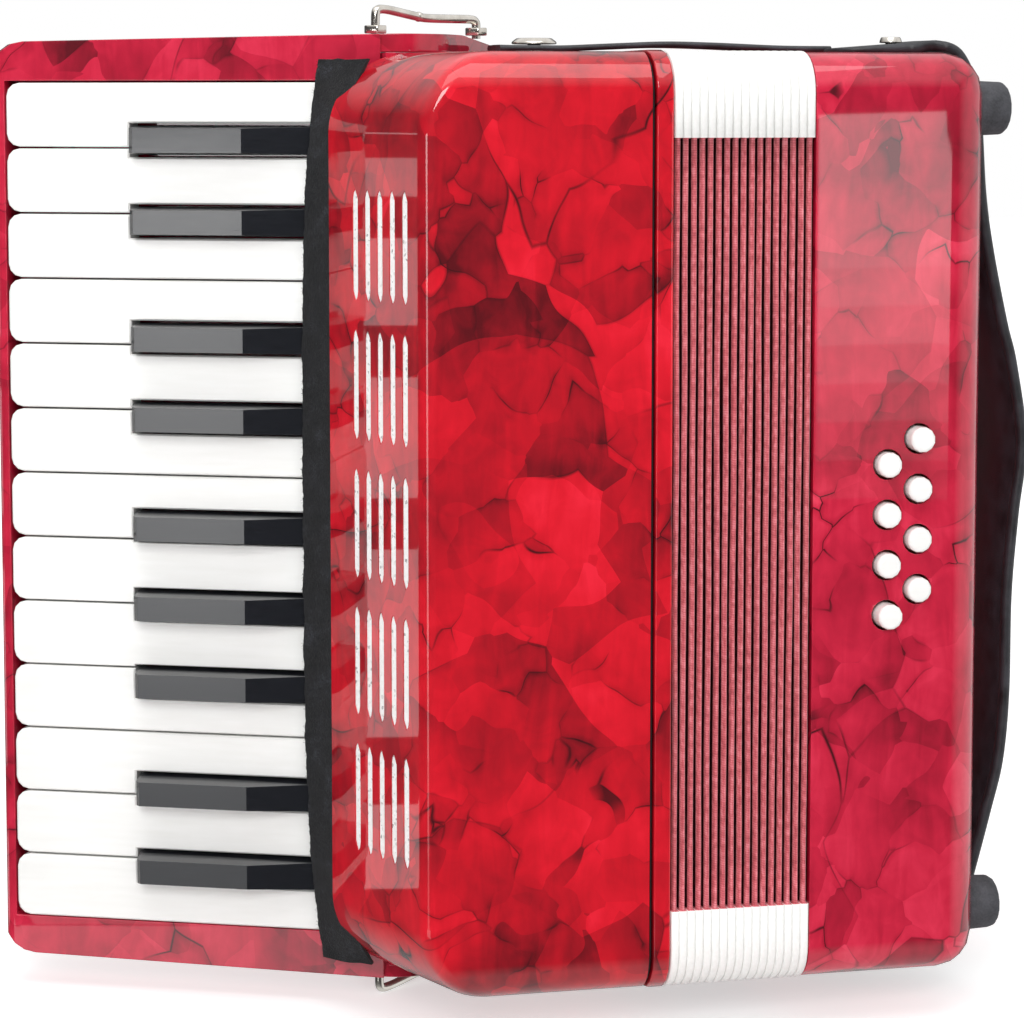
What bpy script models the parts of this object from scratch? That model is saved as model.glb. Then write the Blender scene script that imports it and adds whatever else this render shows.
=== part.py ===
"""A small piano accordion: 22 piano keys, 8 bass buttons, pearloid casings, bellows closed.

It stands upright as a listener sees it, keyboard to the left and bass side to the right.
Sizes are in millimetres and become metres when a mesh is made.
Drawing frame: X runs from the treble side to the bass side and starts at the bellows' left end,
Y runs back from the front faces of the casings, and Z runs up from the middle of their height.
"""
import math

import bmesh
import bpy
from mathutils import Matrix, Vector

MM = 0.001
FIT = 0.3                      # clearance between neighbouring pieces

# Casings
CASE_HEIGHT = 277.0
CASE_DEPTH = 150.0
CASE_RADIUS = 12.0
CASE_WALL = 3.0

# Bellows
FOLD_COUNT = 17
FOLD_PITCH = 2.5
FOLD_GROOVE = 1.1
BELLOWS_WALL = 9.0

# Treble side, measured leftwards from the bellows
LIP_WIDTH = 5.2
LIP_PROUD = 0.5
SPIGOT_LENGTH = 10.0
SPIGOT_WALL = 6.0
GASKET_SLIT = 1.2
GASKET_INSET = 0.9
COVER_FRONT_WIDTH = 67.2
COVER_DEPTH = 48.0
SLOT_FACE_RUN = 18.8
COVER_FOLD_RADIUS = 13.0
COVER_CORNER_RADIUS = 24.0
TREBLE_BOX_WIDTH = 68.6
TREBLE_WALL = 5.0
BOX_INSET = 5.0                # the box under the cover is drawn in this far
HOLLOW_INSET = 9.0
BOARD_THICKNESS = 4.0
BOARD_SETBACK = 15.6

# Grille slots, in groups along the height and columns across the sloping face
SLOT_GROUPS = 5
SLOT_COLUMNS = 5
SLOT_GROUP_PITCH = 41.1
SLOT_COLUMN_PITCH = 6.7
SLOT_FIRST = 10.0
SLOT_LENGTH = 33.0
SLOT_WIDTH = 2.4
LINING_THICKNESS = 0.7

# Keys
WHITE_COUNT = 13
WHITE_PITCH = 20.0
KEY_GAP = 0.6
KEY_LENGTH = 94.7
KEY_THICKNESS = 9.0
KEY_TAIL = 13.0
KEY_TILT = 24.4
KEY_DIP = 4.0
KEY_TIP_RADIUS = 4.0
KEY_EDGE_LEFT = 4.4
KEY_EDGE_BACK = 14.9
BLACK_FRONT = 54.2
BLACK_STEP = 17.7
BLACK_HEIGHT = 8.5
BLACK_TAIL_HEIGHT = 3.2
BLACK_WIDTH = 8.8
BLACK_TOP_WIDTH = 7.4
BLACK_GAP = 0.8
BLACK_AFTER = {0: -2.3, 1: 2.3, 3: -2.2, 4: 2.2, 6: -4.3, 7: 0.3, 8: 4.3, 10: -2.2, 11: 2.2}
PIVOT_IN = 8.0                 # from the felt towards the casing, along the key
PIVOT_DROP = 9.0               # below the white keys' face
AXLE_RADIUS = 1.5
BORE_PLAY = 0.1
HUB_RADIUS = 4.0
HUB_END = 3.0
LEVER_THICKNESS = 4.5
LEVER_WIDTH = 4.6
PALLET_THICKNESS = 4.5
PALLET_DEPTH = 14.0
PALLET_WIDTH = 11.8
WHITE_ROW = 20.0
BLACK_ROW = 38.0
HOLE_MARGIN = 2.2

# Keyboard frame
FRAME_END = 14.3               # from the outer white key to the frame's end, at its left edge
FRAME_SWELL = 2.1              # how much the ends rise towards the casing
FRAME_EDGE = 4.0
FRAME_SINK = 1.5               # the border lies this far below the white keys' face
FRAME_BASE = 5.0
FRAME_CORNER = 9.0
CHEEK_BACK = 146.0
CHEEK_REACH = 54.0             # how far the ends run over the treble box
FELT_THICKNESS = 1.5
FELT_HALF = 136.5

# Bass side
BASS_WIDTH = 55.0
BASS_SEAM = 0.3
BUTTON_RADIUS = 3.85
BUTTON_HOLE_RADIUS = 4.6
BUTTON_PROUD = 3.0
BUTTON_EXTRA = 1.8
BUTTON_TRAVEL = 3.0
BUTTON_STEM_RADIUS = 2.0
BUTTON_PITCH = 15.0
BUTTON_TOP = 24.7
BUTTON_STAGGER = 7.5
BUTTON_RIGHT_IN = 22.3
BUTTON_COLUMN_GAP = 9.6
GUIDE_DEPTH = 14.0
GUIDE_THICKNESS = 3.0
END_THICKNESS = 7.0
PLATE_THICKNESS = 3.0
PLATE_INSET = 13.0
PLATE_LEDGE = 5.5
AIR_BUTTON_RADIUS = 4.7
AIR_BUTTON_PROUD = 4.0
AIR_BUTTON_BACK = 24.5
AIR_BUTTON_HEIGHT = 78.0
FOOT_RADIUS = 8.0
FOOT_LENGTH = 11.1
FOOT_INSET = 20.0
FOOT_DROP = 16.5

# Straps and bails
HAND_STRAP_MIDDLE = 54.0
HAND_STRAP_WIDTH = 40.0
HAND_STRAP_THICKNESS = 3.0
HAND_STRAP_BULGE = 25.2
TONGUE_LENGTH = 19.5
SCREW_HEAD_RADIUS = 3.6
SCREW_HEAD_HEIGHT = 1.8
SCREW_RADIUS = 1.6
SCREW_FROM_END = 12.6
CLOSURE_BACK = 79.0
CLOSURE_WIDTH = 18.0
CLOSURE_THICKNESS = 2.0
CLOSURE_LEFT = -35.5
CLOSURE_ARCH = 2.6
CLOSURE_SEAT = 0.9
CAP_PLACE = 13.2
CAP_RADIUS = 7.0
CAP_HEIGHT = 1.9
POST_RADIUS = 2.0
BAIL_WIRE = 1.35
BAIL_RISE = 8.7
BAIL_LEFT = (-74.0, 70.0)
BAIL_RIGHT = (-37.6, 93.0)
BAIL_BEND = 4.0
NUT_RADIUS = 3.5
NUT_HEIGHT = 2.4

# Wooden blocks that carry the reeds
BLOCK_CELL = 9.0
BLOCK_TAPER = 5.0
TREBLE_BLOCK_LENGTH = 38.0
TREBLE_BLOCK_END = 12.0
TREBLE_BLOCK_CELLS = 11
BASS_BLOCK_LENGTH = 29.7
BASS_BLOCK_FRONT = 25.0
BASS_BLOCK_BACK = 70.0
BASS_BLOCK_HALF = 105.0
BASS_BLOCK_CELLS = 8
BASS_HOLE_WIDTH = 14.0
BASS_HOLE_HEIGHT = 30.0

# Places that follow from the sizes
HALF = CASE_HEIGHT / 2
CASE_RIGHT = -LIP_WIDTH - GASKET_SLIT              # where cover and treble box end
FOLD_X = CASE_RIGHT - COVER_FRONT_WIDTH
COVER_LEFT = FOLD_X - SLOT_FACE_RUN
TREBLE_LEFT = CASE_RIGHT - TREBLE_BOX_WIDTH
BOARD_X = FOLD_X + BOARD_SETBACK
BACK_SEAM = COVER_DEPTH + FIT
BELLOWS_END = FOLD_COUNT * FOLD_PITCH + FIT
BASS_LEFT = BELLOWS_END + BASS_SEAM
BASS_RIGHT = BASS_LEFT + BASS_WIDTH
KEY_ANGLE = math.radians(KEY_TILT)
ALONG = Vector((-math.cos(KEY_ANGLE), math.sin(KEY_ANGLE)))
OUTWARD = Vector((-math.sin(KEY_ANGLE), -math.cos(KEY_ANGLE)))
KEY_EDGE = Vector((COVER_LEFT - KEY_EDGE_LEFT, COVER_DEPTH + KEY_EDGE_BACK))
PIVOT = KEY_EDGE - PIVOT_IN * ALONG - PIVOT_DROP * OUTWARD
KEYS_HALF = WHITE_COUNT * WHITE_PITCH / 2
SLOT_DIRECTION = Vector((-SLOT_FACE_RUN, COVER_DEPTH)).normalized()
SLOT_INWARD = Vector((SLOT_DIRECTION.y, -SLOT_DIRECTION.x))

COLOURS = {
    "pearloid": ((0.52, 0.012, 0.022), 0.16, 0.0),
    "white_keys": ((0.86, 0.86, 0.84), 0.25, 0.0),
    "black_keys": ((0.02, 0.022, 0.026), 0.3, 0.0),
    "felt": ((0.012, 0.013, 0.015), 0.95, 0.0),
    "lining": ((0.75, 0.75, 0.74), 0.45, 0.4),
    "bellows": ((0.42, 0.06, 0.08), 0.7, 0.0),
    "leather": ((0.015, 0.015, 0.016), 0.5, 0.0),
    "rubber": ((0.045, 0.047, 0.05), 0.75, 0.0),
    "nickel": ((0.68, 0.66, 0.61), 0.2, 1.0),
    "steel": ((0.55, 0.55, 0.56), 0.35, 1.0),
    "plywood": ((0.46, 0.31, 0.17), 0.6, 0.0),
    "gasket": ((0.02, 0.02, 0.02), 0.85, 0.0),
}


def clear_scene():
    for item in list(bpy.data.objects):
        bpy.data.objects.remove(item, do_unlink=True)


def make_collection(name):
    group = bpy.data.collections.new(name)
    bpy.context.scene.collection.children.link(group)
    return group


def make_material(name):
    colour, roughness, metallic = COLOURS[name]
    material = bpy.data.materials.new(name)
    material.use_nodes = True
    shader = material.node_tree.nodes["Principled BSDF"]
    shader.inputs["Base Color"].default_value = (*colour, 1.0)
    shader.inputs["Roughness"].default_value = roughness
    shader.inputs["Metallic"].default_value = metallic
    return material


def make_empty(name, parent=None):
    empty = bpy.data.objects.new(name, None)
    PARTS.objects.link(empty)
    empty.parent = parent
    return empty


def drawing_to_object(name, bm, origin):
    """Turn a drawing in millimetres into an object in metres with its origin at a drawing point."""
    bm.normal_update()
    bmesh.ops.recalc_face_normals(bm, faces=bm.faces)
    bmesh.ops.translate(bm, vec=-Vector(origin), verts=bm.verts)
    bmesh.ops.scale(bm, vec=(MM, MM, MM), verts=bm.verts)
    mesh = bpy.data.meshes.new(name)
    bm.to_mesh(mesh)
    bm.free()
    item = bpy.data.objects.new(name, mesh)
    item.location = Vector(origin) * MM
    return item


def add_piece(name, bm, material, parent, origin=(0, 0, 0), smooth=35.0):
    item = drawing_to_object(name, bm, origin)
    item.data.materials.append(MATERIALS[material])
    item.data.shade_smooth()
    item.data.set_sharp_from_angle(angle=math.radians(smooth))
    item.parent = parent
    PARTS.objects.link(item)
    return item


def combine(item, tool_name, bm, operation):
    """Join a drawing to a piece, or cut it out, with a hidden tool object."""
    tool = drawing_to_object(tool_name, bm, (0, 0, 0))
    tool.parent = item.parent
    tool.display_type = "WIRE"
    tool.hide_render = True
    TOOLS.objects.link(tool)
    boolean = item.modifiers.new(tool_name, "BOOLEAN")
    boolean.operation = operation
    boolean.object = tool
    return item


def cut(item, tool_name, bm):
    return combine(item, tool_name, bm, "DIFFERENCE")


def join(item, tool_name, bm):
    return combine(item, tool_name, bm, "UNION")


def arc(centre, radius, start, end, steps):
    """Points on a circle between two angles in degrees, ends included."""
    angles = [math.radians(start + (end - start) * i / steps) for i in range(steps + 1)]
    return [(centre[0] + radius * math.cos(a), centre[1] + radius * math.sin(a)) for a in angles]


def rounded(corners, radii, steps=3):
    """An outline whose corners are rounded by tangent arcs."""
    points = []
    count = len(corners)
    for i, corner in enumerate(corners):
        here, before, after = (Vector(corners[j % count]) for j in (i, i - 1, i + 1))
        radius = radii[i] if isinstance(radii, (list, tuple)) else radii
        if radius <= 0:
            points.append(tuple(here))
            continue
        a, b = (before - here).normalized(), (after - here).normalized()
        half = a.angle(b) / 2
        centre = here + (a + b).normalized() * radius / math.sin(half)
        start, end = ((here + side * radius / math.tan(half) - centre).normalized() for side in (a, b))
        for k in range(steps + 1):
            points.append(tuple(centre + radius * start.slerp(end, k / steps)))
    return points


def smooth_route(points, steps):
    """A Catmull-Rom curve through the given points."""
    route = []
    ends = [points[0]] + list(points) + [points[-1]]
    for i in range(1, len(ends) - 2):
        p0, p1, p2, p3 = (Vector(ends[i + j]) for j in (-1, 0, 1, 2))
        for k in range(steps):
            t = k / steps
            route.append(tuple(0.5 * (2 * p1 + (p2 - p0) * t + (2 * p0 - 5 * p1 + 4 * p2 - p3) * t * t
                                      + (3 * p1 - p0 - 3 * p2 + p3) * t ** 3)))
    return route + [tuple(points[-1])]


def band(points, widths):
    """The outline of a strip of the given width that follows a line of points."""
    line = [Vector(p) for p in points]
    widths = widths if isinstance(widths, (list, tuple)) else [widths] * len(line)
    left, right = [], []
    for i, (here, width) in enumerate(zip(line, widths)):
        before = (here - line[i - 1]).normalized() if i else (line[1] - here).normalized()
        after = (line[i + 1] - here).normalized() if i < len(line) - 1 else before
        normal = (Vector((-before.y, before.x)) + Vector((-after.y, after.x))).normalized()
        reach = width / 2 / max(normal.dot(Vector((-before.y, before.x))), 0.5)
        left.append(tuple(here + normal * reach))
        right.append(tuple(here - normal * reach))
    return left + right[::-1]


AXES = {"X": (2, 0, 1), "Y": (0, 2, 1), "Z": (0, 1, 2)}


def place(u, v, depth, axis):
    """A drawing point from its two outline coordinates and its place along the axis."""
    return {"X": (depth, u, v), "Y": (u, depth, v), "Z": (u, v, depth)}[axis]


def prism(outline, axis, low, high, bm=None):
    """An outline extruded along an axis: YZ outline along X, XZ along Y or XY along Z."""
    bm = bm or bmesh.new()
    face = bm.faces.new([bm.verts.new(place(u, v, low, axis)) for u, v in outline])
    grown = bmesh.ops.extrude_face_region(bm, geom=[face], use_keep_orig=True)
    top = [v for v in grown["geom"] if isinstance(v, bmesh.types.BMVert)]
    bmesh.ops.translate(bm, vec=place(0, 0, high - low, axis), verts=top)
    return bm


def block(low, high, bm=None):
    """A plain box between two corners."""
    bm = bm or bmesh.new()
    size = Vector(high) - Vector(low)
    middle = (Vector(high) + Vector(low)) / 2
    matrix = Matrix.Translation(middle) @ Matrix.Diagonal((*size, 1.0))
    bmesh.ops.create_cube(bm, size=1.0, matrix=matrix)
    return bm


def open_ended_block(low, high, radius, segments=4):
    """A box with every edge rounded but those around its left end."""
    bm = block(low, high)
    edges = [e for e in bm.edges if any(v.co.x > low[0] + radius for v in e.verts)]
    bmesh.ops.bevel(bm, geom=edges, offset=radius, offset_type="OFFSET", segments=segments, profile=0.5,
                    affect="EDGES", clamp_overlap=True, material=-1)
    return bm


def turned(profile, axis, centre, sides=12, bm=None):
    """A profile of (radius, place along the axis) pairs spun about an axis through a point."""
    bm = bm or bmesh.new()
    rows = []
    for radius, along in profile:
        angles = [2 * math.pi * (k + 0.5) / sides for k in range(sides if radius else 1)]
        spots = [Vector(place(radius * math.cos(a), radius * math.sin(a), along, axis)) for a in angles]
        rows.append([bm.verts.new(Vector(centre) + spot) for spot in spots])
    for lower, upper in zip(rows, rows[1:]):
        for k in range(sides):
            corners = [lower[k % len(lower)], lower[(k + 1) % len(lower)],
                       upper[(k + 1) % len(upper)], upper[k % len(upper)]]
            bm.faces.new(list(dict.fromkeys(corners)))
    return bm


def rod(radius, axis, centre, low, high, sides=12, bm=None):
    return turned([(0, low), (radius, low), (radius, high), (0, high)], axis, centre, sides, bm)


def case_outline(inset=0.0, steps=4):
    """The casings' common cross-section in Y and Z, drawn in by an inset."""
    low, high, half = inset, CASE_DEPTH - inset, HALF - inset
    radius = max(CASE_RADIUS - inset, 1.0)
    return rounded([(low, -half), (high, -half), (high, half), (low, half)], radius, steps)


def rectangle(y0, y1, half, radius=0.0):
    return rounded([(y0, -half), (y1, -half), (y1, half), (y0, half)], radius)


def on_key(along, up):
    """A drawing point on the keyboard, from the felt towards the tips and up from the white faces."""
    return tuple(KEY_EDGE + along * ALONG + up * OUTWARD)


def on_slot_face(along, inward):
    """A drawing point on the sloping grille, from the fold and inwards."""
    return tuple(Vector((FOLD_X, 0.0)) + along * SLOT_DIRECTION + inward * SLOT_INWARD)


# Treble side

def cover_section(height):
    """The grille cover's outline in X and Y at a height, drawn in where its ends round over."""
    def drawn_in(radius):
        over = max(height - (HALF - radius), 0.0)
        return radius - math.sqrt(max(radius * radius - over * over, 0.0))

    front, side = drawn_in(CASE_RADIUS), drawn_in(COVER_CORNER_RADIUS)
    start = Vector((FOLD_X, 0.0)) + side * SLOT_INWARD
    fold = start + SLOT_DIRECTION * ((front - start.y) / SLOT_DIRECTION.y)
    back = start + SLOT_DIRECTION * ((COVER_DEPTH + CASE_WALL - start.y) / SLOT_DIRECTION.y)
    radius = COVER_FOLD_RADIUS
    half = Vector((1.0, 0.0)).angle(SLOT_DIRECTION) / 2
    centre = fold + Vector((radius / math.tan(half), radius))
    turn = math.degrees(math.pi - 2 * half)
    bend = arc(centre, radius, -90.0, -90.0 - turn, 5)
    return [(CASE_RIGHT, front)] + bend + [tuple(back)]


def make_grille_cover(parent):
    over = [0.0, 0.25, 0.5, 0.68, 0.82, 0.93, 0.985, 1.0]
    heights = [HALF - COVER_CORNER_RADIUS * (1.0 - share) for share in over]
    levels = [-h for h in reversed(heights)] + heights
    bm = bmesh.new()
    rows = []
    for level in levels:
        rows.append([bm.verts.new((x, y, level)) for x, y in cover_section(abs(level))])
    for lower, upper in zip(rows, rows[1:]):
        for k in range(len(lower) - 1):
            bm.faces.new((lower[k], lower[k + 1], upper[k + 1], upper[k]))
    for row, level in ((rows[0], -HALF), (rows[-1], HALF)):
        corner = bm.verts.new((CASE_RIGHT, COVER_DEPTH + CASE_WALL, level))
        bm.faces.new(row + [corner])
    cover = add_piece("grille_cover", bm, "pearloid", parent)
    shell = cover.modifiers.new("wall", "SOLIDIFY")
    shell.thickness = CASE_WALL * MM
    shell.offset = -1.0
    shell.use_even_offset = True
    trim = block((COVER_LEFT - 10.0, COVER_DEPTH, -HALF - 5.0), (5.0, COVER_DEPTH + 15.0, HALF + 5.0))
    cut(cover, "cover_back", trim)
    slots = bmesh.new()
    for group in range(SLOT_GROUPS):
        middle = (group - (SLOT_GROUPS - 1) / 2) * SLOT_GROUP_PITCH
        for column in range(SLOT_COLUMNS):
            add_slot(slots, SLOT_FIRST + column * SLOT_COLUMN_PITCH, middle)
    return cut(cover, "grille_slots", slots)


def add_slot(bm, along, middle):
    """One slot with narrowed ends, as a slanted prism through the sloping face."""
    half, wide = SLOT_LENGTH / 2, SLOT_WIDTH / 2
    side = [(wide, -half + 3 * wide), (wide, half - 3 * wide), (wide / 2, half - wide / 2), (0.0, half)]
    outline = [(0.0, -half), (wide / 2, -half + wide / 2)] + side
    outline += [(-wide / 2, half - wide / 2), (-wide, half - 3 * wide), (-wide, -half + 3 * wide),
                (-wide / 2, -half + wide / 2)]
    verts = [bm.verts.new((*on_slot_face(along + u, -3.0), middle + v)) for u, v in outline]
    grown = bmesh.ops.extrude_face_region(bm, geom=[bm.faces.new(verts)], use_keep_orig=True)
    top = [v for v in grown["geom"] if isinstance(v, bmesh.types.BMVert)]
    bmesh.ops.translate(bm, vec=(*(SLOT_INWARD * (CASE_WALL + 5.0)), 0.0), verts=top)


def make_grille_lining(parent):
    depth = CASE_WALL + FIT
    reach = SLOT_FIRST + (SLOT_COLUMNS - 1) * SLOT_COLUMN_PITCH + 2.5
    start = SLOT_FIRST - 2.2
    outline = [on_slot_face(start, depth), on_slot_face(reach, depth),
               on_slot_face(reach, depth + LINING_THICKNESS), on_slot_face(start, depth + LINING_THICKNESS)]
    half = SLOT_GROUPS * SLOT_GROUP_PITCH / 2
    return add_piece("grille_lining", prism(outline, "Z", -half, half), "lining", parent)


def make_key_felt(parent):
    """The felt strip that closes the slit between the grille cover and the keys."""
    run = Vector((0.0, COVER_DEPTH)).length / SLOT_DIRECTION.y
    inner = CASE_WALL + FIT + FELT_THICKNESS / 2
    lip = KEY_EDGE + (BLACK_TAIL_HEIGHT + 0.6 + FELT_THICKNESS / 2) * OUTWARD
    points = [on_slot_face(run - 6.5, inner), on_slot_face(run + 2.0, inner), tuple(lip)]
    strip = prism(band(points, FELT_THICKNESS), "Z", -FELT_HALF, FELT_HALF)
    felt = add_piece("key_felt", strip, "felt", parent)
    ends = bmesh.new()
    for side in (-1, 1):
        low, high = sorted((side * (HALF - COVER_CORNER_RADIUS - 2.0), side * (FELT_HALF + 5.0)))
        block((COVER_LEFT - 5.0, 20.0, low), (COVER_LEFT + 30.0, COVER_DEPTH + 2 * FIT, high), ends)
    return cut(felt, "felt_ends", ends)


def make_treble_box(parent):
    """The treble chamber: walls round an L-shaped hollow that opens to the bellows and the soundboard."""
    front = case_outline(BOX_INSET)
    box = add_piece("treble_box", prism(front, "X", BOARD_X, CASE_RIGHT), "pearloid", parent)
    rear = rounded([(BACK_SEAM, -HALF), (CASE_DEPTH, -HALF), (CASE_DEPTH, HALF), (BACK_SEAM, HALF)],
                   [0.0, CASE_RADIUS, CASE_RADIUS, 0.0], 4)
    join(box, "treble_rear", prism(rear, "X", TREBLE_LEFT, CASE_RIGHT))
    inner = HOLLOW_INSET
    hollow = rectangle(inner, CASE_DEPTH - TREBLE_WALL, HALF - inner, 3.0)
    cut(box, "treble_hollow", prism(hollow, "X", BOARD_X - 5.0, CASE_RIGHT + 5.0))
    pocket = rectangle(BACK_SEAM + TREBLE_WALL, CASE_DEPTH - TREBLE_WALL, HALF - inner, 3.0)
    cut(box, "treble_pocket", prism(pocket, "X", TREBLE_LEFT + TREBLE_WALL, BOARD_X + 5.0))
    for side in (-1, 1):
        seat = rod(5.5, "Z", (CLOSURE_LEFT + CAP_PLACE, CLOSURE_BACK, 0), side * (HALF - 1.0),
                   side * (HALF + CLOSURE_SEAT - FIT))
        join(box, f"snap_seat_{side}", seat)
    return box


def make_soundboard(name, parent, x0, outline, holes):
    x1 = x0 + BOARD_THICKNESS
    board = add_piece(name, prism(outline, "X", x0, x1), "plywood", parent)
    cutter = bmesh.new()
    for y, z, deep, wide in holes:
        block((x0 - 2.0, y - deep / 2, z - wide / 2), (x1 + 2.0, y + deep / 2, z + wide / 2), cutter)
    return cut(board, name + "_holes", cutter)


def make_reed_block(name, parent, x0, x1, y0, y1, half, cells):
    """A tapered wooden block with a row of open cells along each long side."""
    taper = math.copysign(BLOCK_TAPER, x1 - x0)
    outline = [(x0, y0), (x1, y0 + BLOCK_TAPER), (x1, y1 - BLOCK_TAPER), (x0, y1)]
    item = add_piece(name, prism(outline, "Z", -half, half), "plywood", parent)
    cutter = bmesh.new()
    pitch = 2 * half / cells
    low, high = sorted((x0 + taper, x1 - taper))
    for k in range(cells):
        middle = -half + pitch * (k + 0.5)
        for inner, outer in ((y0 + BLOCK_CELL, y0 - 2.0), (y1 - BLOCK_CELL, y1 + 2.0)):
            near, far = sorted((inner, outer))
            block((low, near, middle - pitch * 0.32), (high, far, middle + pitch * 0.32), cutter)
    return cut(item, name + "_cells", cutter)


def make_ring(name, material, parent, outer, inner, x0, x1):
    ring = add_piece(name, prism(outer, "X", x0, x1), material, parent)
    return cut(ring, name + "_opening", prism(inner, "X", x0 - 2.0, x1 + 2.0))


def make_treble_frame(parent):
    """The bellows frame: a lip that shows between cover and bellows, and a spigot inside the box."""
    inner = HOLLOW_INSET + FIT
    opening = rectangle(inner + SPIGOT_WALL, CASE_DEPTH - TREBLE_WALL - FIT - SPIGOT_WALL,
                        HALF - inner - SPIGOT_WALL, 3.0)
    frame = add_piece("treble_bellows_frame", prism(case_outline(-LIP_PROUD), "X", -LIP_WIDTH, 0.0),
                      "pearloid", parent)
    spigot = rectangle(inner, CASE_DEPTH - TREBLE_WALL - FIT, HALF - inner, 3.0)
    join(frame, "spigot", prism(spigot, "X", -LIP_WIDTH - SPIGOT_LENGTH, -1.0))
    return cut(frame, "frame_opening", prism(opening, "X", -LIP_WIDTH - SPIGOT_LENGTH - 2.0, 2.0))


def make_bellows(parent):
    """Closed pleats round an open middle, as rings that step in and out along X."""
    def ring(inset, x):
        return [bm.verts.new((x, y, z)) for y, z in case_outline(inset)]

    bm = bmesh.new()
    rows = [ring(FOLD_GROOVE, FIT)]
    for fold in range(FOLD_COUNT):
        start = FIT + fold * FOLD_PITCH
        rows.append(ring(0.0, start + 0.3 * FOLD_PITCH))
        rows.append(ring(0.0, start + 0.7 * FOLD_PITCH))
        rows.append(ring(FOLD_GROOVE, start + FOLD_PITCH))
    rows.append(ring(BELLOWS_WALL, BELLOWS_END))
    rows.append(ring(BELLOWS_WALL, FIT))
    for a, b in zip(rows, rows[1:] + rows[:1]):
        for k in range(len(a)):
            n = (k + 1) % len(a)
            bm.faces.new((a[k], a[n], b[n], b[k]))
    return add_piece("bellows", bm, "bellows", parent)


# Keys and their frame

def white_middle(index):
    """Height of a white key's middle; the first is the lowest note and lies at the top."""
    return KEYS_HALF - (index + 0.5) * WHITE_PITCH


def black_middle(index):
    """Height of the black key that follows a white key."""
    return white_middle(index) - WHITE_PITCH / 2 - BLACK_AFTER[index]


def white_tail(index):
    """Lowest and highest edge of the narrow part of a white key, between its black neighbours."""
    half = (WHITE_PITCH - KEY_GAP) / 2
    low, high = white_middle(index) - half, white_middle(index) + half
    reach = BLACK_WIDTH / 2 + BLACK_GAP
    if index in BLACK_AFTER:
        low = black_middle(index) + reach
    if index - 1 in BLACK_AFTER:
        high = black_middle(index - 1) - reach
    return low, high


def lever_points(row):
    """The bent arm from a key's hub, past the box's front corner, to the pallet on the soundboard."""
    back = (PIVOT - Vector((TREBLE_LEFT, BACK_SEAM))).normalized()
    start = PIVOT + back * HUB_END
    corner = TREBLE_LEFT - LEVER_THICKNESS / 2 - 2.0
    end = (BOARD_X - FIT - PALLET_THICKNESS / 2, row)
    shoulder = (BOARD_X - 11.0, row + 5.0 if row > BLACK_ROW - 5.0 else row + 12.0)
    return [tuple(start), tuple(PIVOT), (corner, COVER_DEPTH + 3.0), (corner + 0.5, COVER_DEPTH - 3.0),
            shoulder, end]


def add_lever(item, height, row):
    """Join a key to its arm and pallet, then bore it for the axle."""
    widths = [2 * HUB_RADIUS, 2 * HUB_RADIUS, LEVER_THICKNESS, LEVER_THICKNESS, 4.0, 3.6]
    outline = band(lever_points(row), widths)
    join(item, item.name + "_arm", prism(outline, "Z", height - LEVER_WIDTH / 2, height + LEVER_WIDTH / 2))
    right = BOARD_X - FIT
    pad = block((right - PALLET_THICKNESS, row - PALLET_DEPTH / 2, height - PALLET_WIDTH / 2),
                (right, row + PALLET_DEPTH / 2, height + PALLET_WIDTH / 2))
    join(item, item.name + "_pallet", pad)
    bore = (AXLE_RADIUS + BORE_PLAY) / math.cos(math.pi / 12)
    cut(item, item.name + "_bore", rod(bore, "Z", (*PIVOT, 0), height - WHITE_PITCH, height + WHITE_PITCH))


def tilt_to_keyboard(bm):
    """Turn a drawing made with X along the keys and Y up from them onto the keyboard."""
    for vert in bm.verts:
        along, up, height = vert.co
        x, y = on_key(along, up)
        vert.co = (x, y, height)
    return bm


def make_white_key(index, parent):
    half = (WHITE_PITCH - KEY_GAP) / 2
    middle = white_middle(index)
    low, high = white_tail(index)
    notch = BLACK_FRONT + 1.3
    corners = [(-KEY_TAIL, low), (notch, low), (notch, middle - half), (KEY_LENGTH, middle - half),
               (KEY_LENGTH, middle + half), (notch, middle + half), (notch, high), (-KEY_TAIL, high)]
    radii = [0.0, 0.0, 0.0, KEY_TIP_RADIUS, KEY_TIP_RADIUS, 0.0, 0.0, 0.0]
    points = list(zip(corners, radii))
    if index not in BLACK_AFTER:
        points = [points[0]] + points[3:]
    if index - 1 not in BLACK_AFTER:
        points = points[:-3] + [points[-1]]
    outline = rounded([p for p, _ in points], [r for _, r in points], 3)
    bm = prism([(s, z) for s, z in outline], "Y", -KEY_THICKNESS, 0.0)
    edges = [e for e in bm.edges if all(v.co.y > -0.01 for v in e.verts)
             and any(v.co.x > 0 for v in e.verts)]
    bmesh.ops.bevel(bm, geom=edges, offset=0.5, segments=1, profile=0.5, affect="EDGES",
                    clamp_overlap=True, material=-1)
    note = f"white_key_{index + 1:02d}"
    key = add_piece(note, tilt_to_keyboard(bm), "white_keys", parent, (*PIVOT, middle))
    add_lever(key, (low + high) / 2, WHITE_ROW)
    return key


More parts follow.
